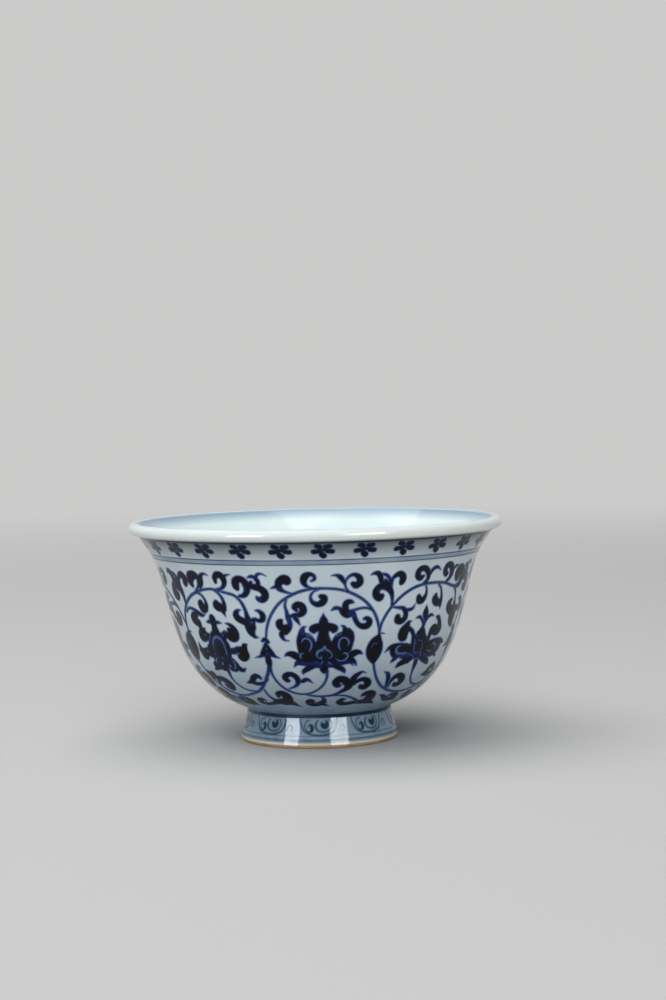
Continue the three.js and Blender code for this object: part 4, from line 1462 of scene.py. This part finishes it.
def shaded(mat, tree, colour, roughness, normal=None, ior=1.5):
    shader = addNode(tree, "ShaderNodeBsdfPrincipled", Base_Color=colour, Roughness=roughness, IOR=ior)
    if normal:
        tree.links.new(normal, shader.inputs["Normal"])
    addNode(tree, "ShaderNodeOutputMaterial", Surface=shader.outputs[0])
    return mat


# clouds, specks and grain: the noise's scale, detail and roughness, and how its span is spread
noises = dict(
    glazeCloud=((45,), (0.35, 0.7)),
    washPatch=((220, 3), (0.3, 0.7, 0.7, 1.0)),
    washDeep=((330, 3), (0.5, 0.75, 0.0, 0.8)),
    cobaltSpeck=((1300, 3, 0.6), (0.3, 0.7, -0.07, 0.07)),
    ringWander=((70, 1), (0.3, 0.7, 0.75, 1.0)),
    clayCloud=((160, 3), (0.35, 0.65)),
    clayGrain=((2600, 3, 0.65), (0.56, 0.75, 0.0, 0.6)),
    burntEdge=((260, 2), (0.3, 0.7, -0.2, 0.2)),
    insideCloud=((50,), (0.35, 0.7)),
    ironSpeck=((520, 1, 0.3), (0.79, 0.82)),
    gloss=((90,), (0.3, 0.7, 0.06, 0.1)),
)


def noisy(tree, name, *ends):
    kind, span = noises[name]
    return spread(tree, noiseAt(tree, *kind), *span, *ends)


coatLook = dict(
    ground=srgb(219, 233, 239),
    groundDeep=srgb(203, 218, 228),
    # painted shade: the ground darkens towards the foot
    lowShade=srgb(128, 148, 164),
    lip=srgb(242, 250, 247),
    # painted reflection of a dark room along the lip's top
    crest=srgb(212, 226, 228),
    # painted shadow under the lip and on the roll's underside
    lipShadow=srgb(96, 107, 110),
    # painted shadow in the crease under the lip
    creaseShadow=srgb(30, 42, 50),
    footWash=srgb(152, 182, 206),
    footDeep=srgb(104, 138, 162),
    footLine=srgb(26, 48, 70),
    footEdge=srgb(238, 229, 208),
    ringWash=srgb(126, 152, 180),
    ring=srgb(50, 72, 104),
    neckRing=srgb(12, 24, 52),
    halo=srgb(80, 112, 166),
    light=srgb(84, 112, 162),
    # colour of the cobalt by tone, from thin to heaped
    cobalt=[
        (0.0, srgb(114, 144, 188)),
        (0.2, srgb(64, 98, 154)),
        (0.4, srgb(26, 56, 118)),
        (0.56, srgb(12, 32, 88)),
        (0.74, srgb(5, 13, 48)),
        (0.9, srgb(1, 4, 22)),
        (1.0, srgb(2, 4, 14)),
    ],
    # painted rings: length up the wall from the neck, half width, softness, colour, strength
    rings=[
        (46.35, 0.16, 0.06, "ring", 1.0),
        (45.15, 0.16, 0.06, "ring", 1.0),
        (-0.3, 0.5, 0.12, "neckRing", 1.0),
        (-5.05, 0.14, 0.06, "footLine", 0.55),
        (-6.05, 0.24, 0.08, "footLine", 0.7),
        # painted shadow in the crease under the lip
        (51.45, 0.5, 0.3, "creaseShadow", 1.0),
    ],
    # lengths up the wall from the neck, mm, over which one colour turns into the next
    heights=dict(
        # painted shade towards the foot
        lowShade=(34, 0),
        # painted shadow under the lip
        lipShadow=(45.6, 51.4),
        lip=(52.3, 53.5),
        # painted reflection along the lip's top
        crest=(54.6, 56.4),
        lipCoat=(51.5, 51.7),
        washStart=(-6.6, -6.3),
        # the foot's wash, reaching on past the neck as painted shade on the wall's underside
        washAndShadeEnd=(3.6, 2.2),
        footEdge=(-6.5, -6.8),
        foot=(0.3, 0.0),
    ),
    lowShadeFall=1.25,
    lipShadowFall=1.1,
    betweenRings=(45.75, 0.55, 0.1),
    betweenCover=0.9,
    # the halo and the cobalt by how far inside a stroke a point lies, mm
    haloSpan=(-0.34, 0.0),
    haloFall=1.4,
    haloCover=0.85,
    edgeSpan=(0.04, 0.09),
    coverSpan=(0.1, 0.3, 0.6, 1.0),
    lightSpan=(0.1, 0.26, 0.55, 1.0),
    roughness=0.07,
    ior=1.28,
)


def ringMask(tree, rise, centre, half, soft):
    off = maths(tree, "ABSOLUTE", maths(tree, "SUBTRACT", rise, centre))
    return spread(tree, off, half - soft, half + soft, 1.0, 0.0)


def coatMaterial(v):
    mat, tree = nodeMaterial("cobaltUnderGlaze")
    ink, tone, light, rise = (attributeValue(tree, key) for key in ("ink", "tone", "light", "rise"))
    at = lambda key: spread(tree, rise, *v["heights"][key])
    both = lambda a, b: maths(tree, "MULTIPLY", a, b)
    ground = mixColours(tree, noisy(tree, "glazeCloud"), v["ground"], v["groundDeep"])
    # painted shade darkening the ground towards the foot, painted shadow under the lip and on the roll's
    # underside, and the lip's own creamy coat with a painted reflection of a dark room along its top
    ground = mixColours(tree, maths(tree, "POWER", at("lowShade"), v["lowShadeFall"]), ground, v["lowShade"])
    ground = mixColours(tree, maths(tree, "POWER", at("lipShadow"), v["lipShadowFall"]), ground, v["lipShadow"])
    lipped = mixColours(tree, at("lip"), v["lipShadow"], v["lip"])
    lipped = mixColours(tree, at("crest"), lipped, v["crest"])
    ground = mixColours(tree, at("lipCoat"), ground, lipped)
    # the foot under its wash, which reaches up past the neck as painted shade on the wall's underside, and
    # the wash between the two rings
    patchy = noisy(tree, "washPatch")
    wash = mixColours(tree, noisy(tree, "washDeep"), v["footWash"], v["footDeep"])
    ground = mixColours(tree, both(both(at("washStart"), at("washAndShadeEnd")), patchy), ground, wash)
    ground = mixColours(tree, at("footEdge"), ground, v["footEdge"])
    between = both(ringMask(tree, rise, *v["betweenRings"]), patchy)
    ground = mixColours(tree, both(between, v["betweenCover"]), ground, v["ringWash"])
    # colour that bled past the strokes
    halo = maths(tree, "POWER", spread(tree, ink, *v["haloSpan"]), v["haloFall"])
    bled = mixColours(tree, at("foot"), v["halo"], v["footDeep"])
    ground = mixColours(tree, both(halo, v["haloCover"]), ground, bled)
    # the strokes, speckled where the cobalt heaped up
    speckled = maths(tree, "ADD", tone, noisy(tree, "cobaltSpeck"))
    ramp = tree.nodes.new("ShaderNodeValToRGB")
    for number, (place, colour) in enumerate(v["cobalt"]):
        stop = ramp.color_ramp.elements[number] if number < 2 else ramp.color_ramp.elements.new(place)
        stop.position, stop.color = place, colour
    tree.links.new(speckled, ramp.inputs[0])
    cobalt = mixColours(tree, at("foot"), ramp.outputs[0], v["footLine"])
    glow = both(spread(tree, light, *v["edgeSpan"]), spread(tree, light, *v["lightSpan"]))
    cobalt = mixColours(tree, glow, cobalt, v["light"])
    cover = both(spread(tree, ink, *v["edgeSpan"]), spread(tree, ink, *v["coverSpan"]))
    colour = mixColours(tree, cover, ground, cobalt)
    wander = noisy(tree, "ringWander")
    for centre, half, soft, tint, strength in v["rings"]:
        mask = both(ringMask(tree, rise, centre, half, soft), both(wander, strength))
        colour = mixColours(tree, mask, colour, v[tint])
    return shaded(mat, tree, colour, v["roughness"], ior=v["ior"])


# unglazed clay: two tones in clouds, grain, and for the foot an edge burnt by the kiln
clayLooks = dict(
    bowl=dict(tones=(srgb(236, 233, 224), srgb(224, 220, 208)), speck=srgb(196, 188, 170), bump=0.15),
    luting_slip=dict(tones=(srgb(230, 226, 214), srgb(214, 208, 194)), speck=srgb(186, 176, 156), bump=0.3),
    foot_ring=dict(
        tones=(srgb(226, 200, 164), srgb(210, 178, 138)),
        speck=srgb(150, 116, 82),
        bump=0.35,
        burnt=srgb(196, 152, 108),
        burntFrom=0.3,
        burntBand=0.4,
    ),
)
clayRelief = 0.0002
clayRoughness = 0.75


def clayMaterial(name, v):
    mat, tree = nodeMaterial(name + "Clay")
    colour = mixColours(tree, noisy(tree, "clayCloud"), *v["tones"])
    colour = mixColours(tree, noisy(tree, "clayGrain"), colour, v["speck"])
    if "burnt" in v:
        ragged = maths(tree, "ADD", heightOn(tree), noisy(tree, "burntEdge"))
        burnt = spread(tree, ragged, v["burntFrom"] + v["burntBand"], v["burntFrom"])
        colour = mixColours(tree, burnt, colour, v["burnt"])
    grain = noiseAt(tree, *noises["clayGrain"][0])
    bump = addNode(tree, "ShaderNodeBump", Height=grain, Strength=v["bump"], Distance=clayRelief)
    return shaded(mat, tree, colour, clayRoughness, bump.outputs[0])


# clear glaze over white body: two tones in clouds, darker and bluer towards the top, a few iron specks
glazeLooks = dict(
    inner_glaze=dict(
        tones=(srgb(232, 245, 244), srgb(225, 240, 241)),
        # inside the rim: a painted reflection of a dark room
        lip=srgb(116, 152, 182),
        lipFrom=50.4,
        lipTo=52.6,
        # painted reflection of a dark room along the rim's crest
        crestSpan=(52.9, 53.15),
        specks=0.0,
    ),
    foot_well_glaze=dict(
        tones=(srgb(214, 224, 226), srgb(198, 212, 218)),
        lip=srgb(188, 206, 214),
        lipFrom=7.2,
        lipTo=8.2,
        specks=0.5,
    ),
)
lipCover = 0.8
ironBrown = srgb(120, 104, 84)


def glazeMaterial(name, v):
    mat, tree = nodeMaterial(name + "Gloss")
    colour = mixColours(tree, noisy(tree, "insideCloud"), *v["tones"])
    # darker and bluer towards the top: a painted reflection inside the rim, and darker towards the top of
    # the foot well
    bluer = spread(tree, heightOn(tree), v["lipFrom"], v["lipTo"], 0.0, lipCover)
    colour = mixColours(tree, bluer, colour, v["lip"])
    # painted reflection along the rim's crest
    if "crestSpan" in v:
        colour = mixColours(tree, spread(tree, heightOn(tree), *v["crestSpan"]), colour, coatLook["crest"])
    if v["specks"]:
        colour = mixColours(tree, noisy(tree, "ironSpeck", 0.0, v["specks"]), colour, ironBrown)
    return shaded(mat, tree, colour, noisy(tree, "gloss"))


turnedLook = dict(
    bowl=(216, "porcelain_body", clayMaterial, clayLooks),
    foot_ring=(432, "bare_foot", clayMaterial, clayLooks),
    luting_slip=(216, "slip", clayMaterial, clayLooks),
    inner_glaze=(432, "inner_glaze", glazeMaterial, glazeLooks),
    foot_well_glaze=(216, "well_glaze", glazeMaterial, glazeLooks),
)


def turnedPiece(name, turns, slotName, makeMaterial, looks, tree):
    section = cup["sections"][name]
    if section[0][0] > 1e-9:
        section = np.vstack([section, section[:1]])
    run = lengths(section)
    line = lineObject(name + "Section", section, 0.02 + 0.96 * run / run[-1])
    material = makeMaterial(name, looks[name])
    values = {"Section": line, "Points": len(section), "Turns": turns, "Material": material}
    piece = addObject(name + "_turned", treeResult(name + "_turned", tree, values))
    bpy.data.objects.remove(line)
    piece.data.set_sharp_from_angle(angle=math.radians(32))
    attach(piece, root)
    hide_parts(name)
    print("turned", name, len(piece.data.polygons), "faces")


# rows of the coat's own map: band, copies side by side, height of the row
mapRows = [("foot", 9, 0.07), ("wall", 1, 0.31), ("blossom", 9, 0.084), ("back", 1, 0.012)]


def cornerArray(mesh, key):
    found = np.zeros(len(mesh.loops), np.float32)
    mesh.attributes[key].data.foreach_get("value", found)
    return found


def coatMesh():
    # rows of points where the outline turns fast
    facing = np.unwrap(np.arctan2(*np.diff(cup["painted"], axis=0).T))
    fast = np.r_[0, np.abs(np.diff(facing)), 0] / np.maximum(np.r_[np.diff(sideLengths), 1], 1e-6) > 0.12
    rowsIn = lambda low, high: [r for r in sideLengths[fast] - neckStart if low < r < high]
    wall, blossom, foot = paintWall(wallLook), paintBlossom(blossomLook), paintFoot(footLook)
    print("strokes painted")
    footRows = rowsIn(-9, 0.9) + list(np.arange(-7, -0.6, 0.8))
    blossomRows = rowsIn(44.6, 60) + list(np.arange(45.4, 51, 0.8))
    sheets = dict(
        foot=paintedSheet("foot", foot, footRows, sheetLook),
        wall=paintedSheet("wall", wall, [], sheetLook),
        blossom=paintedSheet("blossom", blossom, blossomRows, sheetLook),
        back=backSheet("back", cup["paintedBack"], sheetLook["edgeTurns"], 0.04),
    )
    repeats = dict(foot=footLook["repeats"], wall=2, blossom=blossomLook["repeats"], back=1)
    side = lineObject("side", cup["painted"])
    back = lineObject("back", cup["paintedBack"])
    values = {"Material": coatMaterial(coatLook)}
    carriers = [side, back]
    for number, (name, mesh) in enumerate(sheets.items()):
        cornerValues(mesh, band=np.full(len(mesh.loops), number))
        carriers.append(addObject(name + "Band", mesh))
        values[name + " band"] = carriers[-1]
        values[name + " outline"] = back if name == "back" else side
        values[name + " repeats"] = repeats[name]
        print("sheet", name, len(mesh.polygons), "faces,", repeats[name], "times")
    mesh = treeResult("painted_coat", coatTree(sheets, bandTree()), values)
    for ob in carriers:
        bpy.data.objects.remove(ob)
    return mesh, list(sheets)


def addCoatMap(mesh, names):
    along, share, band, copy = (cornerArray(mesh, key) for key in ("along", "share", "band", "copy"))
    band, copy = band.round(), copy.round()
    u, v = np.zeros(len(along)), np.zeros(len(along))
    base, gap = 0.004, 0.004
    ends = dict(
        foot=(0, neckStart + footLook["high"]),
        wall=(neckStart + wallLook["low"], neckStart + wallLook["high"]),
        blossom=(neckStart + blossomLook["low"], sideLengths[-1]),
        back=(1, 1 + lengths(cup["paintedBack"])[-1]),
    )
    for name, perRow, height in mapRows:
        here = band == names.index(name)
        row, place = np.divmod(copy, perRow)
        low, high = ends[name]
        u = np.where(here, 0.004 + 0.992 * (place + share) / perRow, u)
        v = np.where(here, base + row * (height + gap) + height * (np.abs(along) - low) / (high - low), v)
        base += (height + gap) * (row[here].max() + 1)
    places = np.stack([u, v], 1).astype(np.float32)
    mesh.uv_layers.new(name="OFBake").uv.foreach_set("vector", places.ravel())
    print("map filled to %.3f" % base)


# normals from the outline, so that the gloss runs unbroken over the painting
def smoothCoat(mesh):
    along = cornerArray(mesh, "along")
    vertices = np.zeros(len(mesh.vertices) * 3, np.float32)
    mesh.vertices.foreach_get("co", vertices)
    corner = np.zeros(len(mesh.loops), np.int32)
    mesh.loops.foreach_get("vertex_index", corner)
    x, y = vertices.reshape(-1, 3)[corner, :2].T
    radius = np.maximum(np.hypot(x, y), 1e-9)
    normal = np.zeros((len(along), 3))
    for hidden, line in ((False, cup["painted"]), (True, cup["paintedBack"])):
        run = lengths(line)
        pieces = np.diff(line, axis=0) / np.diff(run)[:, None]
        tangent = np.vstack([pieces[:1], pieces[:-1] + pieces[1:], pieces[-1:]])
        t = -1 - along if hidden else along
        out, rise = np.interp(t, run, tangent[:, 1]), np.interp(t, run, -tangent[:, 0])
        size = np.hypot(out, rise)
        here = (along < -0.5) == hidden
        normal[here] = np.stack([out * x / radius, out * y / radius, rise], 1)[here] / size[here, None]
    mesh.normals_split_custom_set([tuple(n) for n in normal])


def coatPiece():
    mesh, names = coatMesh()
    addCoatMap(mesh, names)
    smoothCoat(mesh)
    along = cornerArray(mesh, "along")
    cornerValues(mesh, rise=np.where(along < -0.5, 20.0, along - neckStart))
    for key in ("along", "share", "band", "copy", "turn"):
        if key in mesh.attributes:
            mesh.attributes.remove(mesh.attributes[key])
    piece = addObject("painted_coat", mesh)
    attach(piece, root)
    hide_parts("outer_glaze")
    print("painted coat:", len(mesh.polygons), "faces")


turning = turnedTree()
for name, look in turnedLook.items():
    turnedPiece(name, *look, turning)
coatPiece()
